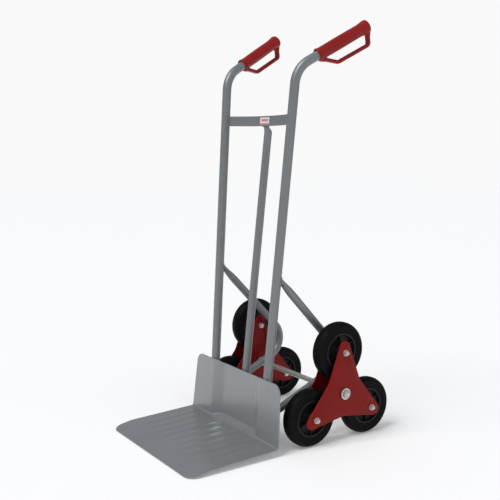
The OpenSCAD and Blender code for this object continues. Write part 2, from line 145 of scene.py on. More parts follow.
class SackTruckFrame(bpy.types.PropertyGroup):
    """Sizes of the welded tube frame"""
    tube_r: length("Tube radius", "Radius of the uprights", 0.0125)
    tube_t: length("Tube wall", "Wall thickness of the tubes", 0.002)
    lean: angle("Lean", "Lean of the uprights and the wall", 4.5)
    splay: angle("Splay", "Outward splay of the uprights", 2.2)
    foot_x: length("Foot", "Distance of an upright's foot from the middle", 0.125)
    foot_z: length("Foot height", "Where an upright starts, along its length", 0.022)
    corner: length("Corner", "Length along the upright to the handle's corner", 1.011)
    bend_r: length("Handle bend", "Bending radius of the handles", 0.075)
    handle_slope: angle("Handle slope", "Slope of the handles", 29.5)
    handle_splay: angle("Handle splay", "Outward turn of the handles", 10.6)
    bar_z: length("Crossbar height", "Height of the crossbar", 0.878)
    bar_h: length("Crossbar width", "Height of the crossbar's strip", 0.028)
    bar_t: length("Crossbar sheet", "Thickness of the crossbar's strip", 0.004)
    bar_bow: length("Crossbar bow", "How far the crossbar bows to the rear", 0.028)
    centre_r: length("Centre tube radius", "Radius of the centre tube", 0.011)
    centre_z: length("Centre tube foot", "Height of the centre tube's lower end", 0.060)
    brace_r: length("Brace radius", "Radius of the side braces", 0.011)
    brace_bend: length("Brace bend", "Bending radius of the side braces", 0.058)
    brace_z: length("Brace top", "Height at which a brace meets the upright", 0.464)
    brace_fall: angle("Brace fall", "Fall of the brace's upper leg", 46.5)
    brace_rise: angle("Brace rise", "Rise of the brace's lower leg", 24.2)
    axle_r: length("Axle radius", "Radius of the axle", 0.0075)
    bead_r: length("Weld bead", "Radius of the weld beads", 0.0021)


class SackTruckGrip(bpy.types.PropertyGroup):
    """Sizes of the grips"""
    start: length("Start", "From the handle's corner to the grip's mouth", 0.070)
    reach: length("Length", "Length of the grip", 0.169)
    radius: length("Radius", "Radius of the grip", 0.0165)
    guard_w: length("Guard width", "Width of the knuckle guard", 0.016)
    guard_t: length("Guard thickness", "Thickness of the knuckle guard", 0.0100)
    voxel: length("Blend", "Size of the steps in which guard and grip are blended", 0.0009)


class SackTruckCluster(bpy.types.PropertyGroup):
    """Sizes of the star plates and their fasteners"""
    gap: length("Gap", "Clear gap between two star plates", 0.060)
    sheet: length("Sheet", "Thickness of a star plate", 0.003)
    flange: length("Rim", "Depth of a star plate's folded rim", 0.0025)
    tip_reach: length("Tip", "From the axle to the tip of an arm", 0.146)
    tip_r: length("Tip radius", "Radius of an arm's tip", 0.018)
    waist: length("Waist", "From the axle to the waist between two arms", 0.064)
    waist_r: length("Waist radius", "Rounding of the waists", 0.045)
    emboss: length("Pressing", "Height of the pressed middle of a star plate", 0.0014)
    bolt_r: length("Bolt radius", "Radius of a wheel bolt", 0.004)
    bolt_flats: length("Bolt flats", "Width across flats of a wheel bolt", 0.013)
    washer_t: length("Washer", "Thickness of a wheel bolt's washers", 0.0016)
    stud_r: length("Stud radius", "Radius of the axle's threaded ends", 0.006)
    stud_flats: length("Axle nut flats", "Width across flats of the axle nuts", 0.019)


class SackTruckWheel(bpy.types.PropertyGroup):
    """Sizes of the wheels"""
    rim_r: length("Rim radius", "Outer radius of the rims", 0.052)
    hub_r: length("Hub radius", "Radius of the rim's hub", 0.017)
    bore_r: length("Bore radius", "Radius of the rim's bore", 0.010)
    hub_w: length("Hub width", "Width of the rim's hub", 0.054)
    ribs: IntProperty(name="Ribs", description="Number of ribs in a rim", default=6, min=3)


class SackTruckColours(bpy.types.PropertyGroup):
    """Base colours of the finishes"""
    paint: colour("Frame paint", "Silver-grey paint of the tubes", (0.181, 0.193, 0.200))
    plate: colour("Toe plate paint", "Silver-grey paint of the sheet", (0.224, 0.237, 0.244))
    star: colour("Star enamel", "Red enamel of the star plates", (0.203, 0.007, 0.006))
    grip: colour("Grip plastic", "Red plastic of the grips", (0.262, 0.007, 0.007))
    rubber: colour("Rubber", "Black rubber of the tyres", (0.0030, 0.0031, 0.0030))
    plastic: colour("Rim plastic", "Black plastic of the rims", (0.0045, 0.0045, 0.0050))
    bush: colour("Bush plastic", "Dark grey nylon of the bushes", (0.060, 0.060, 0.062))
    zinc: colour("Zinc", "Zinc plating of the fasteners", (0.560, 0.555, 0.530))
    label: colour("Label", "White of the blank label", (0.700, 0.660, 0.660))
    border: colour("Label border", "Red of the label's border", (0.420, 0.060, 0.060))
    floor: colour("Floor", "Pale floor", (0.880, 0.880, 0.880))


class SackTruckCamera(bpy.types.PropertyGroup):
    """Where the camera stands"""
    azimuth: angle("Azimuth", "Direction round the truck", 55.74)
    elevation: angle("Elevation", "Height above the horizon", 7.69)
    distance: length("Distance", "From the camera to its target", 2.14477)
    target_x: length("Target X", "Target, to the right of the middle", 0.08928)
    target_z: length("Target Z", "Height of the target", 0.53323)
    lens: FloatProperty(name="Lens", description="Focal length in millimetres", default=58.0)


class SackTruckSettings(bpy.types.PropertyGroup):
    """All settings of the sack truck"""
    toe_plate: PointerProperty(type=SackTruckToePlate)
    frame: PointerProperty(type=SackTruckFrame)
    grip: PointerProperty(type=SackTruckGrip)
    cluster: PointerProperty(type=SackTruckCluster)
    wheel: PointerProperty(type=SackTruckWheel)
    colours: PointerProperty(type=SackTruckColours)
    camera: PointerProperty(type=SackTruckCamera)


# ---- curves and outlines ----


def clamp(value, low=0.0, high=1.0):
    return min(max(value, low), high)


def ease(t):
    """0 before 0, 1 after 1, and smooth between them"""
    t = clamp(t)
    return t * t * (3 - 2 * t)


def blend(a, b, t):
    return a + (b - a) * t


def soft_min(a, b, width):
    """The lower of two heights, rounded where they cross"""
    overlap = max(width - abs(a - b), 0) / width
    return min(a, b) - overlap * overlap * width / 4


def spread(low, high, step):
    """Even steps from low up to, and without, high"""
    count = max(1, round((high - low) / step))
    return [low + (high - low) * i / count for i in range(count)]


def direction(heading):
    """A heading of 0 is up, and a quarter turn is back"""
    return Vector((math.sin(heading), math.cos(heading)))


def rounded(corners, closed=True, steps=4):
    """A line through corners (x, y, radius), with each corner rounded to its radius"""
    points = []
    for i, (x, y, radius) in enumerate(corners):
        here = Vector((x, y))
        if radius == 0 or (not closed and i in (0, len(corners) - 1)):
            points.append(here)
            continue
        back = Vector(corners[i - 1][:2]) - here
        on = Vector(corners[(i + 1) % len(corners)][:2]) - here
        half = back.angle(on) / 2
        run = min(radius / math.tan(half), 0.49 * back.length, 0.49 * on.length)
        r = run * math.tan(half)
        centre = here + (back.normalized() + on.normalized()).normalized() * r / math.sin(half)
        start = here + back.normalized() * run - centre
        end = here + on.normalized() * run - centre
        first = math.atan2(start.y, start.x)
        turn = (math.atan2(end.y, end.x) - first + math.pi) % math.tau - math.pi
        for k in range(steps + 1):
            a = first + turn * k / steps
            points.append(centre + r * Vector((math.cos(a), math.sin(a))))
    return points


class Track:
    """A line that can be asked for the point and the direction at a distance along it"""

    def __init__(self, points):
        self.points = [p for i, p in enumerate(points)
                       if i == 0 or (p - points[i - 1]).length > 1e-7]
        self.marks = [0.0]
        for a, b in zip(self.points, self.points[1:]):
            self.marks.append(self.marks[-1] + (b - a).length)
        self.length = self.marks[-1]

    def at(self, distance):
        i = 0
        while i < len(self.marks) - 2 and self.marks[i + 1] < distance:
            i += 1
        a, b = self.points[i], self.points[i + 1]
        along = (b - a).normalized()
        return a + along * (distance - self.marks[i]), along

    def smooth_at(self, distance, reach):
        """As at, with the direction averaged over a reach on both sides"""
        before = self.at(max(distance - reach, 0))[0]
        after = self.at(min(distance + reach, self.length))[0]
        return self.at(distance)[0], (after - before).normalized()


# ---- meshes ----


def linked(name, data):
    """A new object in the scene, which holds the data"""
    obj = bpy.data.objects.new(name, data)
    bpy.context.scene.collection.objects.link(obj)
    return obj


class Shape:
    """Points and faces gathered for one mesh"""

    def __init__(self):
        self.points = []
        self.faces = []

    def add(self, points, faces, place=None):
        start = len(self.points)
        place = place or Matrix()
        self.points += [place @ Vector(p) for p in points]
        self.faces += [tuple(start + i for i in face) for face in faces]
        return self

    def absorb(self, obj):
        """Takes in an object's mesh, and removes the object"""
        mesh = obj.data
        self.add([v.co for v in mesh.vertices], [tuple(q.vertices) for q in mesh.polygons])
        bpy.data.objects.remove(obj)
        return self

    def piece(self, name, sharp=35):
        mesh = bpy.data.meshes.new(name)
        mesh.from_pydata(self.points, [], self.faces)
        work = bmesh.new()
        work.from_mesh(mesh)
        bmesh.ops.remove_doubles(work, verts=work.verts, dist=1e-6)
        bmesh.ops.recalc_face_normals(work, faces=work.faces)
        work.to_mesh(mesh)
        work.free()
        return shaded(linked(name, mesh), sharp)


def shaded(obj, sharp=35):
    """Smooth shading, with edges sharper than an angle in degrees left sharp"""
    mesh = obj.data
    mesh.polygons.foreach_set("use_smooth", [True] * len(mesh.polygons))
    mesh.set_sharp_from_angle(angle=math.radians(sharp))
    return obj


def thicken(obj, thickness):
    """Gives a skin a wall behind its faces"""
    wall = obj.modifiers.new("Wall", "SOLIDIFY")
    wall.thickness = thickness
    wall.offset = -1


def loft(rings, around=True, along=False, capped=False):
    """A skin through rings of equally many points"""
    n = len(rings[0])
    rows = len(rings) if along else len(rings) - 1
    columns = n if around else n - 1
    faces = []
    for k in range(rows):
        a, b = k * n, (k + 1) % len(rings) * n
        for i in range(columns):
            j = (i + 1) % n
            faces.append((a + i, a + j, b + j, b + i))
    if capped:
        last = (len(rings) - 1) * n
        faces.append(tuple(range(n))[::-1])
        faces.append(tuple(range(last, last + n)))
    return [p for ring in rings for p in ring], faces


def spun(profile, steps=64, closed=True):
    """A profile of (radius, z) spun round Z"""
    rings = []
    for i in range(steps):
        c, s = math.cos(math.tau * i / steps), math.sin(math.tau * i / steps)
        rings.append([(p[0] * c, p[0] * s, p[1]) for p in profile])
    return loft(rings, around=closed, along=True)


def circle(radius, z):
    return [(radius * math.cos(math.tau * i / ROUND), radius * math.sin(math.tau * i / ROUND), z)
            for i in range(ROUND)]


def plain(obj, name):
    """The evaluated result of an object's modifiers, as a plain mesh in a new object"""
    evaluated = obj.evaluated_get(bpy.context.evaluated_depsgraph_get())
    mesh = bpy.data.meshes.new_from_object(evaluated)
    bpy.data.objects.remove(obj)
    mesh.name = name
    return linked(name, mesh)


def placed(obj, matrix):
    """Puts a mesh in its place, and turns its faces outwards again if it was mirrored"""
    obj.data.transform(matrix)
    if matrix.determinant() < 0:
        obj.data.flip_normals()
    return obj


def copied(obj, name, matrix):
    """A mirrored or moved copy of a piece's mesh"""
    return placed(linked(name, obj.data.copy()), matrix)


def done(obj, body, slot, *nodes):
    """Gives a piece its body and the finish of its slot, and hides the nodes that it stands for
    """
    obj.data.materials.clear()
    obj.data.materials.append(finish_for(slot))
    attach(obj, body)
    if nodes:
        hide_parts(*nodes)
    return obj


def line(name, runs, cyclic=()):
    """A curve object of straight runs through points"""
    data = bpy.data.curves.new(name, "CURVE")
    data.dimensions = "3D"
    for i, run in enumerate(runs):
        spline = data.splines.new("POLY")
        spline.points.add(len(run) - 1)
        for point, p in zip(spline.points, run):
            point.co = (*p, 1)
        spline.use_cyclic_u = i in cyclic
    return linked(name, data)


MIRROR = Matrix.Diagonal((-1, 1, 1, 1))    # to the other side of the truck


def mirror_for(side):
    return Matrix() if side == "right" else MIRROR


def shift(x, y, z):
    return Matrix.Translation((x, y, z))


def turn(radians, axis):
    return Matrix.Rotation(radians, 4, axis)


# ---- node trees ----


class Graph:
    """A node tree that is being wired"""

    def __init__(self, tree):
        self.tree = tree
        tree.nodes.clear()

    def add(self, kind, settings=None, inputs=None):
        """Makes a node: its settings first, then the values or links of its sockets"""
        node = self.tree.nodes.new(kind)
        for key, value in (settings or {}).items():
            setattr(node, key, value)
        for key, value in (inputs or {}).items():
            value = getattr(value, "socket", value)
            if isinstance(value, bpy.types.NodeSocket):
                self.tree.links.new(value, node.inputs[key])
            else:
                node.inputs[key].default_value = value
        return node


class Signal:
    """A socket whose numbers are written as sums"""

    def __init__(self, graph, socket):
        self.graph = graph
        self.socket = socket

    def math(self, operation, a, b=0.0):
        node = self.graph.add("ShaderNodeMath", {"operation": operation}, {0: a, 1: b})
        return Signal(self.graph, node.outputs[0])

    def __add__(self, other):
        return self.math("ADD", self, other)

    def __sub__(self, other):
        return self.math("SUBTRACT", self, other)

    def __rsub__(self, other):
        return self.math("SUBTRACT", other, self)

    def __mul__(self, other):
        return self.math("MULTIPLY", self, other)

    def __truediv__(self, other):
        return self.math("DIVIDE", self, other)

    def __rtruediv__(self, other):
        return self.math("DIVIDE", other, self)

    __radd__ = __add__
    __rmul__ = __mul__


class TreeMaker(Graph):
    """A Geometry Nodes tree with named inputs"""

    def __init__(self, name, inputs):
        super().__init__(bpy.data.node_groups.new(name, "GeometryNodeTree"))
        face = self.tree.interface
        face.new_socket("Geometry", in_out="INPUT", socket_type="NodeSocketGeometry")
        for label, kind in inputs.items():
            face.new_socket(label, in_out="INPUT", socket_type="NodeSocket" + kind)
        face.new_socket("Geometry", in_out="OUTPUT", socket_type="NodeSocketGeometry")
        self.given = self.add("NodeGroupInput").outputs

    def end(self, geometry):
        """Ends the tree in real, smooth geometry of one material"""
        real = self.add("GeometryNodeRealizeInstances", {}, {"Geometry": geometry})
        smooth = self.add("GeometryNodeSetShadeSmooth", {}, {"Geometry": real.outputs[0]})
        painted = self.add("GeometryNodeSetMaterial", {}, {
            "Geometry": smooth.outputs[0], "Material": self.given["Material"]})
        self.add("NodeGroupOutput", {}, {"Geometry": painted.outputs[0]})
        return self.tree


def grown(obj, name, tree, **values):
    """Runs a tree on an object and keeps the result as a plain mesh"""
    modifier = obj.modifiers.new(tree.name, "NODES")
    modifier.node_group = tree
    for item in tree.interface.items_tree:
        if item.in_out == "INPUT" and item.name in values:
            modifier[item.identifier] = values[item.name]
    return plain(obj, name)


def ring_tree():
    """Copies the geometry round Z, as wheel bolts on a star plate or ribs in a rim"""
    made = bpy.data.node_groups.get("Copies round an axis")
    if made:
        return made
    g = TreeMaker("Copies round an axis", {
        "Count": "Int", "Radius": "Float", "Start": "Float", "Material": "Material"})
    places = g.add("GeometryNodeMeshCircle", {}, {
        "Vertices": g.given["Count"], "Radius": g.given["Radius"]})
    index = Signal(g, g.add("GeometryNodeInputIndex").outputs[0])
    heading = index * math.tau / g.given["Count"]
    spin = g.add("ShaderNodeCombineXYZ", {}, {"Z": heading})
    copies = g.add("GeometryNodeInstanceOnPoints", {}, {
        "Points": places.outputs["Mesh"], "Instance": g.given["Geometry"],
        "Rotation": spin.outputs[0]})
    start = g.add("ShaderNodeCombineXYZ", {}, {"Z": g.given["Start"]})
    turned = g.add("GeometryNodeTransform", {}, {
        "Geometry": copies.outputs[0], "Rotation": start.outputs[0]})
    return g.end(turned.outputs[0])


def bead_tree():
    """Lays overlapping drops of weld along a curve"""
    g = TreeMaker("Weld bead", {
        "Radius": "Float", "Pitch": "Float", "Seed": "Int", "Material": "Material"})
    places = g.add("GeometryNodeCurveToPoints", {"mode": "LENGTH"}, {
        "Curve": g.given["Geometry"], "Length": g.given["Pitch"]})
    drop = g.add("GeometryNodeMeshIcoSphere", {}, {
        "Radius": g.given["Radius"], "Subdivisions": 2})
    size = g.add("FunctionNodeRandomValue", {"data_type": "FLOAT_VECTOR"}, {
        0: (0.82, 0.82, 0.60), 1: (1.12, 1.12, 0.80), "Seed": g.given["Seed"]})
    drops = g.add("GeometryNodeInstanceOnPoints", {}, {
        "Points": places.outputs["Points"], "Instance": drop.outputs["Mesh"],
        "Rotation": places.outputs["Rotation"], "Scale": size.outputs[0]})
    return g.end(drops.outputs[0])


def tube_tree():
    """Bends a run of straight lines and sweeps a round section along it"""
    g = TreeMaker("Bent tube", {
        "Bend radius": "Float", "Tube radius": "Float", "Material": "Material"})
    bent = g.add("GeometryNodeFilletCurve", {"mode": "POLY"}, {
        "Curve": g.given["Geometry"], "Count": 24, "Radius": g.given["Bend radius"]})
    section = g.add("GeometryNodeCurvePrimitiveCircle", {}, {
        "Resolution": 48, "Radius": g.given["Tube radius"]})
    tube = g.add("GeometryNodeCurveToMesh", {}, {
        "Curve": bent.outputs[0], "Profile Curve": section.outputs[0]})
    return g.end(tube.outputs[0])


# ---- finishes ----


class Finish(Graph):
    """A material that is being wired"""

    def __init__(self, name):
        self.material = bpy.data.materials.new(name)
        self.material.use_nodes = True
        super().__init__(self.material.node_tree)
        self.place = self.add("ShaderNodeTexCoord").outputs["Object"]

    def noise(self, scale, detail=3.0, rough=0.5, stretch=(1, 1, 1)):
        """Noise of so many cells to the metre, from 0 to 1"""
        at = self.add("ShaderNodeMapping", {}, {"Vector": self.place, "Scale": stretch})
        node = self.add("ShaderNodeTexNoise", {}, {
            "Vector": at.outputs[0], "Scale": scale, "Detail": detail, "Roughness": rough})
        return Signal(self, node.outputs["Fac"])

    def cells(self, scale):
        node = self.add("ShaderNodeTexVoronoi", {}, {"Vector": self.place, "Scale": scale})
        return Signal(self, node.outputs["Distance"])

    def along(self, axis):
        """The position along an axis of the object, in metres"""
        node = self.add("ShaderNodeSeparateXYZ", {}, {0: self.place})
        return Signal(self, node.outputs[axis])

    def window(self, value, low, high):
        """0 below low, 1 above high, and smooth between them"""
        node = self.add("ShaderNodeMapRange", {"interpolation_type": "SMOOTHSTEP"}, {
            "Value": value, "From Min": low, "From Max": high})
        return Signal(self, node.outputs[0])

    def mix(self, amount, a, b):
        """One colour laid over another"""
        a, b = [(*c, 1) if isinstance(c, tuple) else c for c in (a, b)]
        node = self.add("ShaderNodeMix", {"data_type": "RGBA"}, {0: amount, 6: a, 7: b})
        return node.outputs[2]

    def bump(self, height, distance, strength):
        node = self.add("ShaderNodeBump", {}, {
            "Height": height, "Distance": distance, "Strength": strength})
        return node.outputs[0]

    def finish(self, **inputs):
        """Sets the shader's sockets, named with _ for a space, and ends the material"""
        named = {key.replace("_", " "): value for key, value in inputs.items()}
        shader = self.add("ShaderNodeBsdfPrincipled", {}, named)
        self.add("ShaderNodeOutputMaterial", {}, {"Surface": shader.outputs[0]})
        return self.material


def shades(base, factor):
    return tuple(clamp(c * factor) for c in base)


def grey_paint(name, base, gloss, coat, streak):
    """Silver-grey metallic paint: flake, faint orange peel, drifts of tone and small scuffs"""
    f = Finish(name)
    drift = f.noise(7, 4)
    flake = f.noise(2600, 1)
    tone = f.mix(drift, shades(base, 0.88), shades(base, 1.14))
    tone = f.mix(flake * 0.30, tone, shades(base, 1.55))
    smear = f.noise(26, 5, 0.6, streak)
    tone = f.mix(f.window(smear, 0.56, 0.80) * 0.30, tone, shades(base, 0.70))
    scuff = f.window(f.noise(95, 6, 0.7, streak), 0.66, 0.72) * f.window(f.noise(11, 2), 0.5, 0.6)
    tone = f.mix(scuff * 0.55, tone, shades(base, 1.75))
    peel = f.noise(420, 2)
    return f.finish(
        Base_Color=tone, Metallic=0.42, Roughness=gloss + flake * 0.06 + smear * 0.14,
        Coat_Weight=coat, Coat_Roughness=0.16,
        Normal=f.bump(peel + flake * 0.12 - scuff * 0.5, 0.00012, 0.55))


def frame_paint(colours):
    return grey_paint("Frame paint", tuple(colours.paint), 0.34, 0.15, (1, 1, 0.12))


def plate_paint(colours):
    return grey_paint("Toe plate paint", tuple(colours.plate), 0.22, 0.55, (1, 0.14, 0.5))


def star_enamel(colours):
    """Red enamel over pressed sheet: orange peel, dust in the hollows and faint rubs"""
    f = Finish("Star enamel")
    base = tuple(colours.star)
    drift = f.noise(16, 4)
    tone = f.mix(drift, shades(base, 0.80), shades(base, 1.22))
    grime = f.window(f.noise(34, 6, 0.65), 0.55, 0.78)
    tone = f.mix(grime * 0.35, tone, shades(base, 0.50))
    rub = f.window(f.noise(150, 5, 0.7), 0.68, 0.75)
    tone = f.mix(rub * 0.30, tone, (0.29, 0.026, 0.020))
    peel = f.noise(380, 2)
    return f.finish(
        Base_Color=tone, Roughness=0.34 + grime * 0.18 + rub * 0.15,
        Specular_IOR_Level=0.12,
        Normal=f.bump(peel, 0.00016, 0.30))


def grip_plastic(colours):
    """Moulded red plastic: fine grain, hand polish on the crown and small scratches"""
    f = Finish("Grip plastic")
    base = tuple(colours.grip)
    drift = f.noise(22, 4)
    tone = f.mix(drift, shades(base, 0.84), shades(base, 1.18))
    scratch = f.window(f.noise(210, 5, 0.75, (1, 0.12, 1)), 0.66, 0.74)
    tone = f.mix(scratch * 0.25, tone, (0.36, 0.030, 0.028))
    grain = f.cells(1300)
    return f.finish(
        Base_Color=tone, Roughness=0.28 + drift * 0.14 + scratch * 0.15,
        Specular_IOR_Level=0.22,
        Normal=f.bump(grain * 0.5 - scratch * 0.4, 0.00010, 0.22))


def tyre_rubber(colours):
    """Solid rubber: mottled grey bloom, dust in the tread and a fine grain"""
    f = Finish("Tyre rubber")
    base = tuple(colours.rubber)
    bloom = f.window(f.noise(30, 6, 0.65), 0.42, 0.80)
    tone = f.mix(bloom * 0.55, base, (0.0070, 0.0070, 0.0068))
    dust = f.window(f.noise(120, 5, 0.7), 0.60, 0.74)
    tone = f.mix(dust * 0.30, tone, (0.0150, 0.0145, 0.0135))
    grain = f.noise(900, 3, 0.6)
    return f.finish(
        Base_Color=tone, Roughness=0.46 + bloom * 0.22,
        Specular_IOR_Level=0.08,
        Normal=f.bump(grain, 0.00018, 0.7))


def black_plastic(colours):
    """Moulded black plastic with a spark-eroded grain"""
    f = Finish("Rim plastic")
    drift = f.noise(40, 4)
    tone = f.mix(drift * 0.7, tuple(colours.plastic), (0.010, 0.010, 0.0105))
    grain = f.noise(1100, 2)
    return f.finish(Base_Color=tone, Roughness=0.42 + drift * 0.16, Specular_IOR_Level=0.22,
                    Normal=f.bump(grain, 0.00008, 0.5))


def bush_nylon(colours):
    """Dark grey nylon with faint turning marks"""
    f = Finish("Bush nylon")
    base = tuple(colours.bush)
    drift = f.noise(150, 3)
    tone = f.mix(drift, shades(base, 0.75), shades(base, 1.30))
    return f.finish(Base_Color=tone, Roughness=0.40 + drift * 0.12,
                    Normal=f.bump(f.noise(1500, 2), 0.00004, 0.5))


def zinc_plate(colours):
    """Zinc plating: cloudy bright metal with a faint yellow and blue passivation"""
    f = Finish("Zinc plating")
    base = tuple(colours.zinc)
    cloud = f.noise(260, 4, 0.6)
    tone = f.mix(cloud, shades(base, 0.72), shades(base, 1.20))
    tint = f.window(f.noise(90, 3), 0.40, 0.66)
    tone = f.mix(tint * 0.35, tone, (0.60, 0.55, 0.40))
    tone = f.mix((1 - tint) * 0.18, tone, (0.42, 0.50, 0.58))
    spots = f.window(f.noise(700, 4, 0.7), 0.62, 0.70)
    tone = f.mix(spots * 0.4, tone, (0.22, 0.20, 0.17))
    return f.finish(Base_Color=tone, Metallic=0.88, Roughness=0.30 + cloud * 0.16,
                    Normal=f.bump(cloud - spots * 0.6, 0.00005, 0.6))


def label_print(colours):
    """A blank white label with a plain red border and one plain band"""
    f = Finish("Label")
    bar = bpy.context.scene.sack_truck.frame
    half_w, half_h = extent("label_plate").x / 2, extent("label_plate").z / 2
    side = f.along("X").math("ABSOLUTE", f.along("X")) / half_w
    height = f.along("Z") - bar.bar_z
    level = height.math("ABSOLUTE", height) / half_h
    edge = f.window(side, 0.925, 0.935)
    rim = f.window(level, 0.83, 0.85)
    border = edge.math("MAXIMUM", edge, rim)
    band = (1 - f.window(side, 0.66, 0.68)) * (1 - f.window(level, 0.30, 0.34))
    paper = f.mix(f.noise(300, 4) * 0.4, tuple(colours.label), shades(colours.label, 0.82))
    tone = f.mix(border * 0.75, paper, tuple(colours.border))
    tone = f.mix(band * 0.70, tone, shades(colours.border, 0.75))
    return f.finish(Base_Color=tone, Roughness=0.34 + f.noise(120, 3) * 0.15,
                    Normal=f.bump(f.noise(700, 2), 0.00004, 0.5))


def floor_paint(colours):
    """Pale seamless floor with a barely visible grain"""
    f = Finish("Floor")
    base = tuple(colours.floor)
    tone = f.mix(f.noise(3, 3), shades(base, 0.985), base)
    return f.finish(Base_Color=tone, Roughness=0.62 + f.noise(60, 2) * 0.05,
                    Specular_IOR_Level=0.2, Emission_Color=(1, 1, 1, 1),
                    Emission_Strength=0.17)


FINISHES = {
    "frame_paint": frame_paint, "toe_plate_metal": plate_paint, "star_paint": star_enamel,
    "grip_plastic": grip_plastic, "tyre_rubber": tyre_rubber, "rim_plastic": black_plastic,
    "bush_plastic": bush_nylon, "zinc": zinc_plate, "label": label_print, "floor": floor_paint,
}
made_finishes = {}


def finish_for(slot):
    """The material of a slot of the record, made when it is first asked for"""
    if slot not in made_finishes:
        made_finishes[slot] = FINISHES[slot](bpy.context.scene.sack_truck.colours)
    return made_finishes[slot]


# ---- places in the frame ----


def bend_y(truck):
    """Y of the toe plate's bend"""
    return PLATE_LOW.y + truck.toe_plate.depth


def tube_offset(truck):
    """How far an upright's axis lies behind the bend, at floor level"""
    f, p = truck.frame, truck.toe_plate
    gap = 0.1 * MM
    return (p.sheet + f.tube_r + gap) / math.cos(f.lean) - p.bend_z * math.tan(f.lean)


def side_plane(truck):
    """A side's own plane: Y runs back from the bend, and Z up along the splay"""
    return shift(truck.frame.foot_x, bend_y(truck), 0) @ turn(truck.frame.splay, "Y")


def upright_axis(truck):
    """Z runs along an upright"""
    return side_plane(truck) @ shift(0, tube_offset(truck), 0) @ turn(-truck.frame.lean, "X")


def handle_turn(truck):
    return math.pi / 2 - truck.frame.lean - truck.frame.handle_slope


def handle_axis(truck):
    """Z runs along a handle from its corner, and Y down towards the guard"""
    return (upright_axis(truck) @ shift(0, 0, truck.frame.corner)
            @ turn(-truck.frame.handle_splay, "Z") @ turn(-handle_turn(truck), "X"))


def upright_y(truck, z):
    return tube_offset(truck) + z * math.tan(truck.frame.lean)


def upright_x(truck, z):
    return truck.frame.foot_x + z * math.tan(truck.frame.splay)


# A cluster's own frame: X and Y lie in the star plates, and Z points outwards
CLUSTER = shift(*HUB) @ Matrix(((0, 0, 1, 0), (1, 0, 0, 0), (0, 1, 0, 0), (0, 0, 0, 1)))


def wheel_place(side, place):
    return (mirror_for(side) @ CLUSTER @ turn(math.radians(PLACES[place]), "Z")
            @ shift(ARM_R, 0, 0))


# ---- toe plate ----


def plate_rows(track, bend, p):
    """Distances along the sheet: close together in its rounded corners and at the bend"""
    near, far = 9 * MM, 30 * MM
    quarter = [math.pi / 2 * k / 10 for k in range(11)]
    rows = [p.front_r * (1 - math.cos(a)) for a in quarter]
    rows += spread(p.front_r, bend - near, 4.2 * MM)[1:]
    rows += spread(bend - near, bend + near, 1 * MM)
    rows += spread(bend + near, bend + far, 2 * MM)
    rows += spread(bend + far, track.length - p.top_r, 5 * MM)
    rows += [track.length - p.top_r + p.top_r * math.sin(a) for a in quarter]
    return rows


def plate_half_width(distance, track, p, half):
    """Half the sheet's width, which its taper and its rounded corners narrow"""
    up = distance - (track.length - p.wall)
    half -= p.taper * clamp(up / (p.wall - p.top_r))
    for d, r in ((distance, p.front_r), (track.length - distance, p.top_r)):
        if d < r:
            return half - r + math.sqrt(max(r * r - (r - d) ** 2, 0))
    return half


def rib_height(x, y, p):
    """Height of the pressed ribs at a point of the loading face"""
    index = clamp(round(x / p.rib_pitch - 0.5), -p.ribs // 2, p.ribs // 2 - 1)
    away = abs(x - (index + 0.5) * p.rib_pitch) / (0.34 * p.rib_pitch)
    crest = 0.5 + 0.5 * math.cos(math.pi * min(away, 1))
    start, end, fade = 12 * MM, p.depth - p.lip - 6 * MM, 24 * MM
    return p.rib_h * crest * ease((-y - start) / fade) * ease((end + y) / fade)


def pocket_depth(x, up, p):
    """How far the wall is pressed back, at a distance up from the bend"""
    side = (p.step_out - abs(x)) * p.recess / (p.step_out - p.step_in)
    fold = 4 * MM
    depth = soft_min(side, (up - p.foot) * 2, fold)
    depth = soft_min(depth, p.recess, fold)
    return -soft_min(-depth, 0, 3.5 * MM)


def pucker(x, up, p):
    """The sheet gathers a little where a step runs into the bend"""
    step_middle = 0.101
    away = math.hypot((abs(x) - step_middle) / (9 * MM), (up - 6 * MM) / (6 * MM))
    wave = math.sin(abs(x) / (2.6 * MM)) * 0.6 + math.sin(up / (1.9 * MM)) * 0.4
    return 0.9 * MM * wave * math.exp(-away * away)


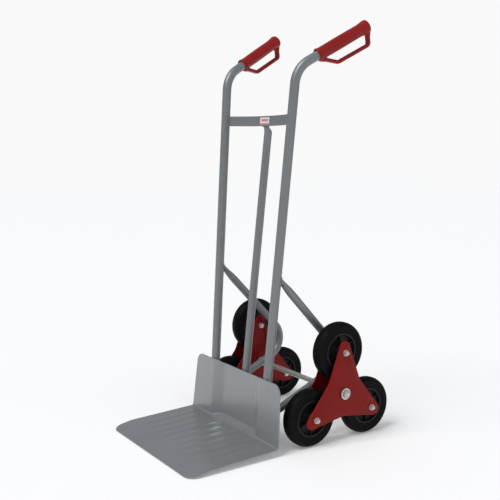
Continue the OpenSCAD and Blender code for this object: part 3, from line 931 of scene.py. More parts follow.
class SACKTRUCK_OT_toe_plate(bpy.types.Operator):
    """Press the toe plate: ribbed loading face, front lip and recessed wall"""
    bl_idname = "sack_truck.toe_plate"
    bl_label = "Toe plate"

    def execute(self, context):
        truck = context.scene.sack_truck
        p, lean = truck.toe_plate, truck.frame.lean
        half = extent("toe_plate").x / 2
        top = direction(lean) * p.wall
        track = Track(rounded([
            (-p.depth, p.sheet, 0), (p.lip - p.depth, p.lip_z, 70 * MM),
            (0, p.bend_z, 5.5 * MM), (top.x, p.bend_z + top.y, 0)], closed=False, steps=12))
        bend = track.length - p.wall
        columns = 2 * round(half / (2.7 * MM))
        rings = []
        for distance in plate_rows(track, bend, p):
            here, along = track.smooth_at(distance, 1 * MM)
            out = Vector((-along.y, along.x))
            wide = plate_half_width(distance, track, p, half)
            up = distance - bend
            row = []
            for i in range(columns + 1):
                x = wide * (2 * i / columns - 1)
                lift = rib_height(x, here.x, p) if up < 0 else 0
                lift -= pocket_depth(x, up, p)
                lift += pucker(x, up, p) if up > 0 else 0
                fade = ease((p.step_out - abs(x)) / (p.step_out - p.step_in))
                slide = -p.drop * fade * ease((up - p.wall / 2) / (p.wall / 2))
                spot = here + out * lift + along * slide
                row.append((x, bend_y(truck) + spot.x, spot.y))
            rings.append(row)
        points, faces = loft(rings, around=False)
        mesh = bpy.data.meshes.new("pressed_toe_plate")
        mesh.from_pydata(points, [], faces)
        obj = linked("pressed_toe_plate", mesh)
        thicken(obj, p.sheet)
        edges = obj.modifiers.new("Edges", "BEVEL")
        edges.width = 0.8 * MM
        edges.segments = 2
        edges.limit_method = "ANGLE"
        edges.angle_limit = math.radians(60)
        obj = shaded(plain(obj, "pressed_toe_plate"), 50)
        done(obj, "frame", "toe_plate_metal", "toe_plate")
        return {"FINISHED"}


# ---- frame tubes ----


class SACKTRUCK_OT_uprights(bpy.types.Operator):
    """Bend the two uprights with their handles"""
    bl_idname = "sack_truck.uprights"
    bl_label = "Uprights"

    def execute(self, context):
        truck = context.scene.sack_truck
        f, g = truck.frame, truck.grip
        axis, handle = upright_axis(truck), handle_axis(truck)
        run = [axis @ Vector((0, 0, f.foot_z)), axis @ Vector((0, 0, f.corner)),
               handle @ Vector((0, 0, g.start + g.reach - 8 * MM))]
        tube = grown(line("tube", [run]), "tube", tube_tree(), **{
            "Bend radius": f.bend_r, "Tube radius": f.tube_r})
        shape = Shape().absorb(tube)
        for side in SIDES:
            obj = shape.piece("bent_upright_" + side)
            thicken(obj, f.tube_t)
            obj = shaded(plain(obj, "bent_upright_" + side))
            placed(obj, mirror_for(side))
            done(obj, "frame", "frame_paint", "upright_" + side)
        return {"FINISHED"}


def oval_ring(at, heading, half_w, half_h, post=None, steps=40):
    """A ring of an oval tube in a side's plane. With a post, (axis point, heading, radius),
    the ring is moved along the tube onto the post's surface."""
    ring = []
    d, n = direction(heading), Vector((math.cos(heading), -math.sin(heading)))
    for i in range(steps):
        a = math.tau * i / steps
        x = half_w * math.cos(a)
        spot = at + n * (half_h * math.sin(a))
        if post:
            origin, lean, radius = post
            across = Vector((math.cos(lean), -math.sin(lean)))
            depth = math.sqrt(max(radius * radius - x * x, 0))
            spot = spot + d * ((depth - (spot - origin).dot(across)) / d.dot(across))
        ring.append((x, spot.x, spot.y))
    return ring


def brace_lines(truck):
    """The corners of a side brace in the side's plane, then the axle's centre and the point where
    the brace's lower leg passes the axle
    """
    f = truck.frame
    top = Vector((upright_y(truck, f.brace_z), f.brace_z))
    fall = Vector((math.cos(f.brace_fall), -math.sin(f.brace_fall)))
    rise = Vector((math.cos(f.brace_rise), math.sin(f.brace_rise)))
    reach = f.brace_r + f.axle_r + 0.2 * MM
    axle = Vector((AXLE.y - bend_y(truck), AXLE.z))
    over = axle + reach * Vector((-rise.y, rise.x))
    gap = over - top
    run = (gap.x * rise.y - gap.y * rise.x) / (fall.x * rise.y - fall.y * rise.x)
    back = (over.x - upright_y(truck, over.y)) / (rise.x - rise.y * math.tan(f.lean))
    return top, top + fall * run, over - rise * back, axle, over


class SACKTRUCK_OT_side_braces(bpy.types.Operator):
    """Bend the side braces, whose ends are pressed flat where they meet the uprights"""
    bl_idname = "sack_truck.side_braces"
    bl_label = "Side braces"

    def execute(self, context):
        truck = context.scene.sack_truck
        f = truck.frame
        top, corner, foot, _, _ = brace_lines(truck)
        track = Track(rounded([(*top, 0), (*corner, f.brace_bend), (*foot, 0)],
                              closed=False, steps=28))
        post = (Vector((tube_offset(truck), 0)), f.lean, f.tube_r - 1 * MM)
        clear = f.tube_r + 6 * MM
        press = 62 * MM
        marks = [0] + spread(clear, clear + press, 5 * MM)
        marks += [m for m in track.marks if clear + press < m < track.length - clear - press]
        marks += spread(track.length - clear - press, track.length - clear, 5 * MM)
        marks += [track.length - clear, track.length]
        rings = []
        for mark in marks:
            here, along = track.smooth_at(mark, 1.5 * MM)
            heading = math.atan2(along.x, along.y)
            full = ease((min(mark, track.length - mark) - f.tube_r) / press)
            half_w = blend(PRESSED, f.brace_r, full)
            half_h = blend(6.2 * MM, f.brace_r, full)
            at_end = mark in (0, track.length)
            rings.append(oval_ring(here, heading, half_w, half_h, post if at_end else None))
        for side in SIDES:
            obj = Shape().add(*loft(rings, capped=True), side_plane(truck)).piece(
                "bent_brace_" + side)
            placed(obj, mirror_for(side))
            done(obj, "frame", "frame_paint", "side_brace_" + side)
        return {"FINISHED"}


def bar_arc(truck):
    """Radius of the crossbar's front face, and half its width at the uprights' axes"""
    f = truck.frame
    half = upright_x(truck, f.bar_z)
    return (half * half + f.bar_bow * f.bar_bow) / (2 * f.bar_bow), half


def bar_plane(truck):
    """The crossbar's frame: its origin is midway between the uprights' axes"""
    f = truck.frame
    return shift(0, bend_y(truck) + upright_y(truck, f.bar_z), f.bar_z) @ turn(-f.lean, "X")


def bowed_strip(truck, front, back, height, half_length, rounding, steps=48):
    """A strip on the crossbar's arc, between two distances behind the arc's front face"""
    radius, _ = bar_arc(truck)
    h = height / 2
    section = rounded([(front, -h, rounding), (back, -h, rounding), (back, h, rounding),
                       (front, h, rounding)], steps=3)
    rings = []
    for i in range(steps + 1):
        a = math.asin(half_length / radius) * (2 * i / steps - 1)
        rings.append([((radius + q.x) * math.sin(a),
                       (radius + q.x) * math.cos(a) + truck.frame.bar_bow - radius, q.y)
                      for q in section])
    return loft(rings, capped=True)


class SACKTRUCK_OT_crossbar(bpy.types.Operator):
    """Bow the crossbar, lay its blank label on it and make the centre tube"""
    bl_idname = "sack_truck.crossbar"
    bl_label = "Crossbar, label and centre tube"

    def execute(self, context):
        truck = context.scene.sack_truck
        f, p = truck.frame, truck.toe_plate
        _, half = bar_arc(truck)
        bar = Shape().add(*bowed_strip(truck, 0, f.bar_t, f.bar_h, half - 9 * MM, 0.9 * MM),
                          bar_plane(truck)).piece("bowed_crossbar")
        done(bar, "frame", "frame_paint", "crossbar")

        size = extent("label_plate")
        label = Shape().add(*bowed_strip(truck, -0.6 * MM, 0.2 * MM, size.z, size.x / 2,
                                         0.25 * MM, 12), bar_plane(truck)).piece("blank_label")
        done(label, "frame", "label", "label_plate")

        # The centre tube: round at the foot, pressed into a flat tongue behind the crossbar
        foot = Vector((p.recess + p.sheet + (f.centre_z - p.bend_z) * math.tan(f.lean)
                       + f.centre_r + 0.2 * MM, f.centre_z))
        bar_rear = upright_y(truck, f.bar_z) + f.bar_bow + f.bar_t
        press_z = f.bar_z - f.bar_h / 2 - 21 * MM
        tongue_z = f.bar_z - f.bar_h / 2 - 1 * MM
        top_z = f.bar_z + f.bar_h / 2 - 3 * MM
        tube_y = bar_rear + 0.6 * f.centre_r
        thin = 2.4 * MM
        stops = []
        neck = Vector((tube_y, press_z))
        for t in (0, 0.25, 0.5, 0.75, 0.9, 1):
            at = foot.lerp(neck, t)
            stops.append((at, f.centre_r, f.centre_r))
        tongue_y = bar_rear + thin + 0.2 * MM
        for k in range(1, 9):
            t = k / 8
            z = blend(press_z, tongue_z, t)
            y = blend(tube_y, tongue_y + (z - f.bar_z) * math.tan(f.lean), ease(t))
            stops.append((Vector((y, z)), blend(f.centre_r, PRESSED, ease(t)),
                          blend(f.centre_r, thin, ease(t))))
        for k in range(1, 4):
            z = blend(tongue_z, top_z, k / 3)
            stops.append((Vector((tongue_y + (z - f.bar_z) * math.tan(f.lean), z)),
                          PRESSED, thin))
        stops.append((stops[-1][0] + Vector((0.1, 1.1)) * MM, 10.8 * MM, 0.6 * thin))
        inner = f.centre_r - f.tube_t
        deep = foot.lerp(neck, 0.06)
        stops = [(deep, inner, inner), (foot, inner, inner)] + stops
        rings = []
        for i, (at, half_w, half_h) in enumerate(stops):
            other = stops[i + 1][0] if i + 1 < len(stops) else at + (at - stops[i - 1][0])
            along = (neck - foot) if i < 3 else other - at
            rings.append(oval_ring(at, math.atan2(along.x, along.y), half_w, half_h))
        tube = Shape().add(*loft(rings, capped=True), shift(0, bend_y(truck), 0)).piece(
            "pressed_centre_tube")
        done(tube, "frame", "frame_paint", "centre_tube")
        return {"FINISHED"}


def weld_runs(truck):
    """The lines of the weld beads on the right, and in the middle; loops come first"""
    f, p = truck.frame, truck.toe_plate
    axis, plane = upright_axis(truck), side_plane(truck)
    top, corner, foot, axle, over = brace_lines(truck)
    post = (Vector((tube_offset(truck), 0)), f.lean, f.tube_r + 0.2 * MM)
    loops = []
    for here, toward in ((top, corner), (foot, corner)):
        along = toward - here
        ring = oval_ring(here, math.atan2(along.x, along.y), 12 * MM, 7 * MM, post)
        loops.append([plane @ Vector(q) for q in ring])
    runs = []
    # Crossbar to upright, in front and behind
    mark = f.bar_z / math.cos(f.lean) / math.cos(f.splay)
    for x, y in ((-11.9 * MM, 3.6 * MM), (-9.4 * MM, 8.6 * MM)):
        runs.append([axis @ Vector((x, y, mark + s * f.bar_h / 2)) for s in (-0.9, 0.9)])
    # Upright to the rear of the wall, in two stitches on each side
    for x in (-5.4 * MM, 5.4 * MM):
        for low, high in ((48 * MM, 84 * MM), (134 * MM, 168 * MM)):
            runs.append([axis @ Vector((x, -f.tube_r + 1.6 * MM, z)) for z in (low, high)])
    # Brace to axle, in front and behind
    rise = Vector((math.cos(f.brace_rise), math.sin(f.brace_rise)))
    touch = axle + (over - axle).normalized() * f.axle_r
    for s in (-1, 1):
        at = touch + rise * (s * 5.2 * MM)
        runs.append([plane @ Vector((x, at.x, at.y)) for x in (-8 * MM, 8 * MM)])
    middle_runs = []
    wall_y = bend_y(truck) + p.recess + p.sheet
    for x in (-4.8 * MM, 4.8 * MM):
        middle_runs.append([(x, wall_y + (z - p.bend_z) * math.tan(f.lean) + 1.2 * MM, z)
                            for z in (f.centre_z + 2 * MM, f.centre_z + 36 * MM)])
    plane_b = bar_plane(truck)
    back = f.bar_bow + f.bar_t + 1.2 * MM
    for level in (f.bar_h / 2 - 2.6 * MM, -f.bar_h / 2 - 0.6 * MM):
        middle_runs.append([plane_b @ Vector((x, back, level)) for x in (-13 * MM, 13 * MM)])
    return loops, runs, middle_runs


class SACKTRUCK_OT_welds(bpy.types.Operator):
    """Lay the weld beads where the tubes of the frame meet"""
    bl_idname = "sack_truck.welds"
    bl_label = "Weld beads"

    def execute(self, context):
        truck = context.scene.sack_truck
        loops, runs, middle_runs = weld_runs(truck)
        values = {"Radius": truck.frame.bead_r, "Pitch": 1.7 * MM,
                  "Material": finish_for("frame_paint")}
        tree = bead_tree()
        for seed, (side, s) in enumerate(SIDES.items()):
            lines = [[(s * q[0], q[1], q[2]) for q in run] for run in loops + runs]
            beads = grown(line("seams", lines, range(len(loops))), "weld_beads_" + side, tree,
                          Seed=seed, **values)
            done(beads, "frame", "frame_paint")
        beads = grown(line("seams", middle_runs), "weld_beads_middle", tree, Seed=7, **values)
        done(beads, "frame", "frame_paint")
        return {"FINISHED"}


# ---- grips ----


def grip_body(g, tube_r):
    """The grip's sleeve as a profile of (radius, z): bore, flanged mouth, barrel, flared end"""
    start, end = g.start, g.start + g.reach
    r, bore = g.radius, tube_r + 0.1 * MM
    barrel = [(r + 0.35 * MM * math.sin(math.pi * k / 8) ** 2,
               blend(start + 12 * MM, end - 34 * MM, k / 8)) for k in range(9)]
    return ([(0, end - 7 * MM), (bore, end - 7 * MM), (bore, start + 0.6 * MM),
             (bore + 0.6 * MM, start), (r + 1.2 * MM, start), (r + 1.8 * MM, start + 0.9 * MM),
             (r + 1.8 * MM, start + 4.2 * MM), (r + 0.9 * MM, start + 5.4 * MM),
             (r, start + 6.6 * MM)] + barrel
            + [(r + 0.7 * MM, end - 20 * MM), (r + 2.0 * MM, end - 11 * MM),
               (r + 2.2 * MM, end - 5 * MM), (r + 1.2 * MM, end - 1.8 * MM),
               (r - 2.0 * MM, end - 0.3 * MM), (0, end)])


def grip_guard(g):
    """The knuckle guard: a strap that leaves the mouth, runs beside the grip and comes back"""
    end = g.start + g.reach
    track = Track(rounded([
        (13.6 * MM, g.start + 7 * MM, 0), (43 * MM, g.start + 46 * MM, 7 * MM),
        (45 * MM, end - 20 * MM, 9 * MM), (13.6 * MM, end - 8 * MM, 0)],
        closed=False, steps=8))
    rings = []
    for i in range(61):
        mark = track.length * i / 60
        here, along = track.smooth_at(mark, 2.5 * MM)
        out = Vector((-along.y, along.x))
        root = 1 - ease(min(mark, track.length - mark) / (16 * MM))
        half_w = g.guard_w / 2 + 1.5 * MM * root
        half_t = g.guard_t / 2 + 2.6 * MM * root
        ring = []
        for k in range(24):
            a = math.tau * k / 24
            c, s = math.cos(a), math.sin(a)
            x = half_w * math.copysign(abs(c) ** 0.6, c)
            spot = here + out * (half_t * math.copysign(abs(s) ** 0.6, s))
            ring.append((x, spot.x, spot.y))
        rings.append(ring)
    return loft(rings, capped=True)


class SACKTRUCK_OT_grips(bpy.types.Operator):
    """Mould the two grips in one piece with their knuckle guards"""
    bl_idname = "sack_truck.grips"
    bl_label = "Grips"

    def execute(self, context):
        truck = context.scene.sack_truck
        g = truck.grip
        shape = Shape()
        shape.add(*spun(grip_body(g, truck.frame.tube_r), ROUND, closed=False))
        shape.add(*grip_guard(g))
        obj = shape.piece("grip")
        blended = obj.modifiers.new("Blend", "REMESH")
        blended.mode = "VOXEL"
        blended.voxel_size = g.voxel
        soft = obj.modifiers.new("Soften", "SMOOTH")
        soft.factor = 0.5
        soft.iterations = 5
        obj = plain(obj, "moulded_grip_right")
        placed(obj, handle_axis(truck))
        left = copied(obj, "moulded_grip_left", MIRROR)
        for side, grip in (("right", obj), ("left", left)):
            shaded(grip, 60)
            done(grip, "frame", "grip_plastic", "grip_" + side)
        return {"FINISHED"}


# ---- fasteners ----


def hex_ring(flats, z, chamfer=0):
    """A hexagon's ring at a height. A chamfer of 1 draws its corners down, and -1 up."""
    ring = []
    for i in range(ROUND):
        a = math.tau * i / ROUND
        r = flats / 2 / math.cos((a % (math.pi / 3)) - math.pi / 6)
        cut = max(r - flats / 2 * CHAMFER, 0) * math.tan(math.radians(30))
        ring.append((r * math.cos(a), r * math.sin(a), z - chamfer * cut))
    return ring


def thread_rings(radius, low, high, pitch):
    """Rings of a screw thread between two heights"""
    rings = []
    depth = 0.45 * pitch
    rows = max(2, round((high - low) / pitch * 8))
    for k in range(rows + 1):
        z = blend(low, high, k / rows)
        ring = []
        for i in range(ROUND):
            wave = abs(((z / pitch - i / ROUND) % 1) * 2 - 1)
            fade = ease((high - z) / (0.6 * MM))
            r = radius - depth * (wave * fade + (1 - fade))
            a = math.tau * i / ROUND
            ring.append((r * math.cos(a), r * math.sin(a), z))
        rings.append(ring)
    return rings


def bolt_shape(radius, flats, head_low, head_high, thread_low, end, pitch):
    """A hexagon bolt along Z, with its head at the low end"""
    rings = [circle(flats / 2 * 0.40, head_low + 0.3 * MM),
             circle(flats / 2 * 0.52, head_low), circle(flats / 2 * CHAMFER, head_low),
             hex_ring(flats, head_low, -1), hex_ring(flats, head_high),
             circle(radius, head_high)]
    rings += thread_rings(radius, thread_low, end, pitch)
    return loft(rings, capped=True)


def nut_shape(flats, bore, low, height, collar):
    """A locking nut: a hexagon with both ends chamfered, and a round collar"""
    top, lip = low + height, low + height + collar
    neck = flats * 0.42
    rings = [circle(bore, low), circle(flats / 2 * CHAMFER, low),
             hex_ring(flats, low, -1), hex_ring(flats, top, 1),
             circle(flats / 2 * CHAMFER, top), circle(neck + 0.4 * MM, top),
             circle(neck, top + 0.5 * MM), circle(neck - 0.2 * MM, lip - 0.8 * MM),
             circle(neck - 1.0 * MM, lip), circle(bore + 0.6 * MM, lip),
             circle(bore, lip - 0.6 * MM)]
    return loft(rings, along=True)


def washer_shape(outer, bore, low, high):
    c = 0.35 * MM
    return spun(rounded([(bore, low, c), (outer, low, c), (outer, high, c), (bore, high, c)],
                        steps=2), ROUND)


class SACKTRUCK_OT_axle(bpy.types.Operator):
    """Turn the axle, its washers and collars, and fit its locking nuts"""
    bl_idname = "sack_truck.axle"
    bl_label = "Axle and its fasteners"

    def execute(self, context):
        truck = context.scene.sack_truck
        f, c = truck.frame, truck.cluster
        shoulder = c.gap / 2 + c.sheet + 2.3 * MM
        low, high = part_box("axle")
        stud_end = (high.x - low.x) / 2 - HUB.x
        along = turn(math.pi / 2, "Y")
        half = HUB.x + shoulder
        bar = Shape()
        body = [circle(r, z) for r, z in (
            (c.stud_r, -half - 0.2 * MM), (f.axle_r - 0.6 * MM, -half),
            (f.axle_r, -half + 0.6 * MM), (f.axle_r, half - 0.6 * MM),
            (f.axle_r - 0.6 * MM, half), (c.stud_r, half + 0.2 * MM))]
        bar.add(*loft(body, capped=True), shift(0, AXLE.y, AXLE.z) @ along)
        stud = loft(thread_rings(c.stud_r, shoulder - 1 * MM, stud_end, 1.75 * MM), capped=True)
        for side in SIDES:
            bar.add(*stud, mirror_for(side) @ CLUSTER)
        done(bar.piece("turned_axle"), "frame", "zinc", "axle")

        inner = -shoulder - 2.5 * MM
        parts = {
            "axle_outer_washers": washer_shape(16 * MM, c.stud_r + 0.2 * MM, shoulder,
                                               shoulder + 2 * MM),
            "axle_inner_washers": washer_shape(15 * MM, f.axle_r + 0.2 * MM, inner, -shoulder),
            "axle_collars": washer_shape(12 * MM, f.axle_r, inner - 8 * MM, inner),
            "axle_nuts": nut_shape(c.stud_flats, c.stud_r, shoulder + 2 * MM, 7 * MM, 1.5 * MM),
        }
        for node, (points, faces) in parts.items():
            pair = Shape()
            for side in SIDES:
                pair.add(points, faces, mirror_for(side) @ CLUSTER)
            done(pair.piece("turned_" + node, 25), "frame", "zinc", node)
        return {"FINISHED"}


class SACKTRUCK_OT_wheel_fasteners(bpy.types.Operator):
    """Fit three bolts, nuts and pairs of washers to each cluster"""
    bl_idname = "sack_truck.wheel_fasteners"
    bl_label = "Wheel bolts, nuts and washers"

    def execute(self, context):
        c = context.scene.sack_truck.cluster
        face = c.gap / 2 + c.sheet
        seat = face + c.washer_t
        end = seat + 10 * MM
        r = c.bolt_r + 0.2 * MM
        washers = Shape().add(*washer_shape(8.5 * MM, r, face, seat))
        washers.add(*washer_shape(8.5 * MM, r, -seat, -face))
        parts = {
            "wheel_bolts": Shape().add(*bolt_shape(
                c.bolt_r, c.bolt_flats, -seat - 5.3 * MM, -seat, seat, end, 1.25 * MM)),
            "wheel_nuts": Shape().add(*nut_shape(
                c.bolt_flats, c.bolt_r, seat, 6.5 * MM, 1.5 * MM)),
            "wheel_washers": washers,
        }
        for kind, shape in parts.items():
            for side in SIDES:
                name = f"turned_{kind}_{side}"
                obj = grown(shape.piece("one_of_" + kind, 25), name, ring_tree(), Count=3,
                            Radius=ARM_R, Start=math.pi / 2, Material=finish_for("zinc"))
                placed(shaded(obj, 25), mirror_for(side) @ CLUSTER)
                done(obj, "cluster_" + side, "zinc", f"{kind}_{side}")
        return {"FINISHED"}


# ---- star plates ----


def star_outline(c, inset):
    """The outline of a star plate, drawn in by a distance"""
    centre = c.tip_reach - c.tip_r
    third = math.pi / 3
    waist = c.waist * Vector((math.cos(third), math.sin(third)))
    run = Vector((centre, 0)) - waist
    edge = -(math.atan2(run.y, run.x) + math.asin(c.tip_r / run.length))
    apex = waist.x + waist.y / math.tan(edge) - inset / math.sin(edge)
    hollow = c.waist - inset / math.sin(third + edge)
    corners = []
    for degrees in PLACES.values():
        a = math.radians(degrees)
        corners.append((apex * math.cos(a), apex * math.sin(a), c.tip_r - inset))
        a += third
        corners.append((hollow * math.cos(a), hollow * math.sin(a), c.waist_r + inset))
    return rounded(corners, steps=12)


class SACKTRUCK_OT_star_plates(bpy.types.Operator):
    """Press the four star plates, with a folded rim and a raised middle"""
    bl_idname = "sack_truck.star_plates"
    bl_label = "Star plates"

    def execute(self, context):
        c = context.scene.sack_truck.cluster
        wall, fillet = 2.2 * MM, 2.4 * MM
        margin = c.sheet - c.emboss
        levels = [(7 * MM, 0), (wall + 1.5 * MM, 0), (wall + 0.4 * MM, -0.4 * MM),
                  (wall, -1.2 * MM), (wall, -c.flange + 0.5 * MM), (wall - 0.5 * MM, -c.flange),
                  (0.5 * MM, -c.flange), (0, -c.flange + 0.5 * MM)]
        levels += [(fillet * (1 - math.cos(a)), margin - fillet + fillet * math.sin(a))
                   for a in (math.pi / 2 * k / 6 for k in range(7))]
        levels += [(5.0 * MM, margin)]
        levels += [(blend(5.6 * MM, 12.5 * MM, t), margin + c.emboss * ease(t))
                   for t in (0, 0.2, 0.4, 0.6, 0.8, 1)]
        rings = [[(q.x, q.y, c.gap / 2 + z) for q in star_outline(c, inset)]
                 for inset, z in levels]
        flip = Matrix.Diagonal((1, 1, -1, 1))
        for side in SIDES:
            for where, facing in (("outer", Matrix()), ("inner", flip)):
                name = f"star_plate_{where}_{side}"
                obj = Shape().add(*loft(rings, capped=True)).piece("pressed_" + name, 30)
                placed(obj, mirror_for(side) @ CLUSTER @ facing)
                done(obj, "cluster_" + side, "star_paint", name)
        return {"FINISHED"}


# ---- wheels ----


def tyre_profile(w):
    """Half of the tyre's section from the crown to the bead, as (radius, z, rounding)"""
    r, half = TYRE_R, TYRE_W / 2
    groove = 1.3 * MM
    return [
        (r, 0, 0), (r - 0.1 * MM, 4.2 * MM, 0), (r - groove, 4.6 * MM, 0),
        (r - groove, 6.0 * MM, 0), (r - 0.4 * MM, 6.4 * MM, 0), (r - 1.3 * MM, 10.2 * MM, 1 * MM),
        (r - groove - 1.6 * MM, 10.6 * MM, 0), (r - groove - 2.2 * MM, 11.8 * MM, 0),
        (r - 2.3 * MM, 12.4 * MM, 0), (r - 5.0 * MM, half - 2.6 * MM, 4 * MM),
        (r - 9.0 * MM, half - 0.5 * MM, 2 * MM), (r - 10.4 * MM, half, 0.5 * MM),
        (r - 11.6 * MM, half, 0.5 * MM), (r - 12.6 * MM, half - 1.3 * MM, 0.6 * MM),
        (r - 16.6 * MM, half - 1.3 * MM, 0.6 * MM), (r - 17.6 * MM, half - 0.2 * MM, 0.5 * MM),
        (r - 19.0 * MM, half - 0.2 * MM, 0.5 * MM), (r - 20.4 * MM, half - 1.7 * MM, 1 * MM),
        (w.rim_r + 3.0 * MM, half - 2.6 * MM, 1 * MM),
        (w.rim_r + 1.6 * MM, half - 1.0 * MM, 0.6 * MM),
        (w.rim_r + 0.2 * MM, half - 1.4 * MM, 0.5 * MM), (w.rim_r, half - 3.0 * MM, 0)]


def rim_profile(w):
    """The rim's section: hub, dished web and outer ring, as (radius, z, rounding)"""
    half_hub, half_ring = w.hub_w / 2, 17 * MM
    ring_in = w.rim_r - 7 * MM
    upper = [
        (w.bore_r + 0.02 * MM, half_hub - 0.6 * MM, 0), (w.bore_r + 0.7 * MM, half_hub, 0),
        (w.hub_r - 1.2 * MM, half_hub, 1 * MM), (w.hub_r, half_hub - 3 * MM, 1 * MM),
        (w.hub_r + 1.2 * MM, 6.0 * MM, 3 * MM), (24 * MM, 4.4 * MM, 4 * MM),
        (38 * MM, 4.0 * MM, 4 * MM), (ring_in - 0.6 * MM, 7.0 * MM, 3 * MM),
        (ring_in + 0.4 * MM, half_ring - 1.2 * MM, 1 * MM),
        (ring_in + 1.4 * MM, half_ring, 0.6 * MM),
        (w.rim_r - 0.8 * MM, half_ring, 0.5 * MM), (w.rim_r - 0.1 * MM, half_ring - 0.8 * MM, 0)]
    return rounded(upper + [(r, -z, q) for r, z, q in reversed(upper)], steps=3)


def rib_shape(w):
    """One rib of the rim's web, from the hub to the ring, standing on both faces"""
    low, high = w.hub_r - 0.5 * MM, w.rim_r - 6.4 * MM
    rings = []
    for k in range(7):
        x = blend(low, high, k / 6)
        h = blend(16 * MM, 12.5 * MM, k / 6) - 2.6 * MM * math.sin(math.pi * k / 6)
        section = rounded([(-1.6 * MM, -h, 0.8 * MM), (1.6 * MM, -h, 0.8 * MM),
                           (1.6 * MM, h, 0.8 * MM), (-1.6 * MM, h, 0.8 * MM)], steps=3)
        rings.append([(x, q.x, q.y) for q in section])
    return loft(rings, capped=True)


class SACKTRUCK_OT_wheels(bpy.types.Operator):
    """Mould the six tyres and rims"""
    bl_idname = "sack_truck.wheels"
    bl_label = "Wheels"

    def execute(self, context):
        w = context.scene.sack_truck.wheel
        half = tyre_profile(w)
        profile = rounded(half + [(r, -z, q) for r, z, q in reversed(half[1:])], steps=3)
        tyre = Shape().add(*spun(profile, 128)).piece("tyre", 28)
        ribs = grown(Shape().add(*rib_shape(w)).piece("rib"), "ribs", ring_tree(),
                     Count=w.ribs, Radius=0.0, Start=0.0, Material=finish_for("rim_plastic"))
        shape = Shape().add(*spun(rim_profile(w), 96))
        rim = shape.absorb(ribs).piece("rim", 28)
        for side in SIDES:
            for place in PLACES:
                spot, name = wheel_place(side, place), f"{side}_{place}"
                rubber = copied(tyre, "moulded_tyre_" + name, spot)
                done(rubber, "wheel_" + name, "tyre_rubber",
                     "tyre_" + name)
                plastic = copied(rim, "moulded_rim_" + name, spot)
                done(plastic, "wheel_" + name, "rim_plastic",
                     "rim_" + name)
        bpy.data.objects.remove(tyre)
        bpy.data.objects.remove(rim)
        return {"FINISHED"}


# ---- kept parts, stage and camera ----


class SACKTRUCK_OT_kept_parts(bpy.types.Operator):
    """Give the hub tubes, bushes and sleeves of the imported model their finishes"""
    bl_idname = "sack_truck.kept_parts"
    bl_label = "Hub tubes, bushes and sleeves"

    def execute(self, context):
        slots = {s["node"]: s["material_slot"] for s in frame["record"]["subparts"]}
        for node, obj in frame["nodes"].items():
            if not obj.hide_render:
                for place in obj.material_slots:
                    place.material = finish_for(slots[node])
        return {"FINISHED"}


SKY_LIGHT = (0.34, 0.35, 0.37, 1)    # what lights the truck
BACKDROP = (0.95, 0.95, 0.95, 1)     # what the camera sees behind the floor


def sun_light(name, azimuth, elevation, power, softness):
    """A soft light from one direction, as from a large window or a softbox"""
    data = bpy.data.lights.new(name, "SUN")
    data.energy = power
    data.angle = math.radians(softness)
    look_from(linked(name, data), math.radians(azimuth), math.radians(elevation), 3,
              (CAD_BOX[0] + CAD_BOX[1]) / 2)


def look_from(obj, azimuth, elevation, distance, target):
    """Stands an object at a direction and distance from a target, and turns it to look there"""
    back = Vector((math.sin(azimuth) * math.cos(elevation),
                   -math.cos(azimuth) * math.cos(elevation), math.sin(elevation)))
    obj.location = Vector(target) + back * distance
    obj.rotation_euler = back.to_track_quat("Z", "Y").to_euler()


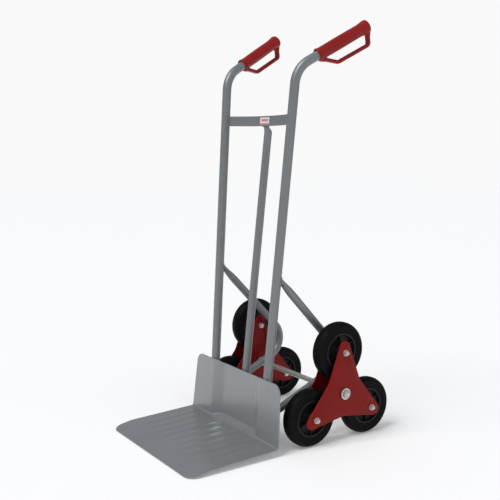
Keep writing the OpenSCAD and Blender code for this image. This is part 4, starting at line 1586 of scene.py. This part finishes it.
class SACKTRUCK_OT_stage(bpy.types.Operator):
    """Set the pale floor, the soft lights and the camera"""
    bl_idname = "sack_truck.stage"
    bl_label = "Stage"

    def execute(self, context):
        truck = context.scene.sack_truck
        scene = context.scene
        bpy.ops.mesh.primitive_grid_add(x_subdivisions=8, y_subdivisions=8, size=24)
        floor = context.object
        floor.name = "studio_floor"
        floor.data.materials.append(finish_for("floor"))

        scene.world = bpy.data.worlds.new("Studio")
        scene.world.use_nodes = True
        sky = Graph(scene.world.node_tree)
        seen = sky.add("ShaderNodeLightPath").outputs["Is Camera Ray"]
        tone = sky.add("ShaderNodeMix", {"data_type": "RGBA"}, {
            0: seen, 6: SKY_LIGHT, 7: BACKDROP})
        light = sky.add("ShaderNodeBackground", {}, {"Color": tone.outputs[2]})
        sky.add("ShaderNodeOutputWorld", {}, {"Surface": light.outputs[0]})
        scene.view_settings.view_transform = "Standard"
        sun_light("key", azimuth=4, elevation=55, power=2.1, softness=32)
        sun_light("fill", azimuth=105, elevation=20, power=0.40, softness=60)

        c = truck.camera
        data = bpy.data.cameras.new("camera")
        data.lens = c.lens
        data.sensor_width = 36
        camera = linked("camera", data)
        look_from(camera, c.azimuth, c.elevation, c.distance,
                  (c.target_x, bend_y(truck), c.target_z))
        scene.camera = camera
        return {"FINISHED"}


class SACKTRUCK_PT_panel(bpy.types.Panel):
    """Lists the steps that build the sack truck"""
    bl_label = "Sack truck"
    bl_idname = "SACKTRUCK_PT_panel"
    bl_space_type = "VIEW_3D"
    bl_region_type = "UI"
    bl_category = "Sack truck"

    def draw(self, context):
        for step in STEPS:
            self.layout.operator(step.bl_idname)


STEPS = (
    SACKTRUCK_OT_toe_plate, SACKTRUCK_OT_uprights, SACKTRUCK_OT_side_braces,
    SACKTRUCK_OT_crossbar, SACKTRUCK_OT_welds, SACKTRUCK_OT_grips, SACKTRUCK_OT_axle,
    SACKTRUCK_OT_wheel_fasteners, SACKTRUCK_OT_star_plates, SACKTRUCK_OT_wheels,
    SACKTRUCK_OT_kept_parts, SACKTRUCK_OT_stage)
CLASSES = (
    SackTruckToePlate, SackTruckFrame, SackTruckGrip, SackTruckCluster, SackTruckWheel,
    SackTruckColours, SackTruckCamera, SackTruckSettings, *STEPS, SACKTRUCK_PT_panel)


def register():
    for cls in CLASSES:
        bpy.utils.register_class(cls)
    bpy.types.Scene.sack_truck = PointerProperty(type=SackTruckSettings)


def unregister():
    del bpy.types.Scene.sack_truck
    for cls in reversed(CLASSES):
        bpy.utils.unregister_class(cls)


def main():
    register()
    for step in STEPS:
        group, name = step.bl_idname.split(".")
        getattr(getattr(bpy.ops, group), name)()


if __name__ == "__main__":
    main()
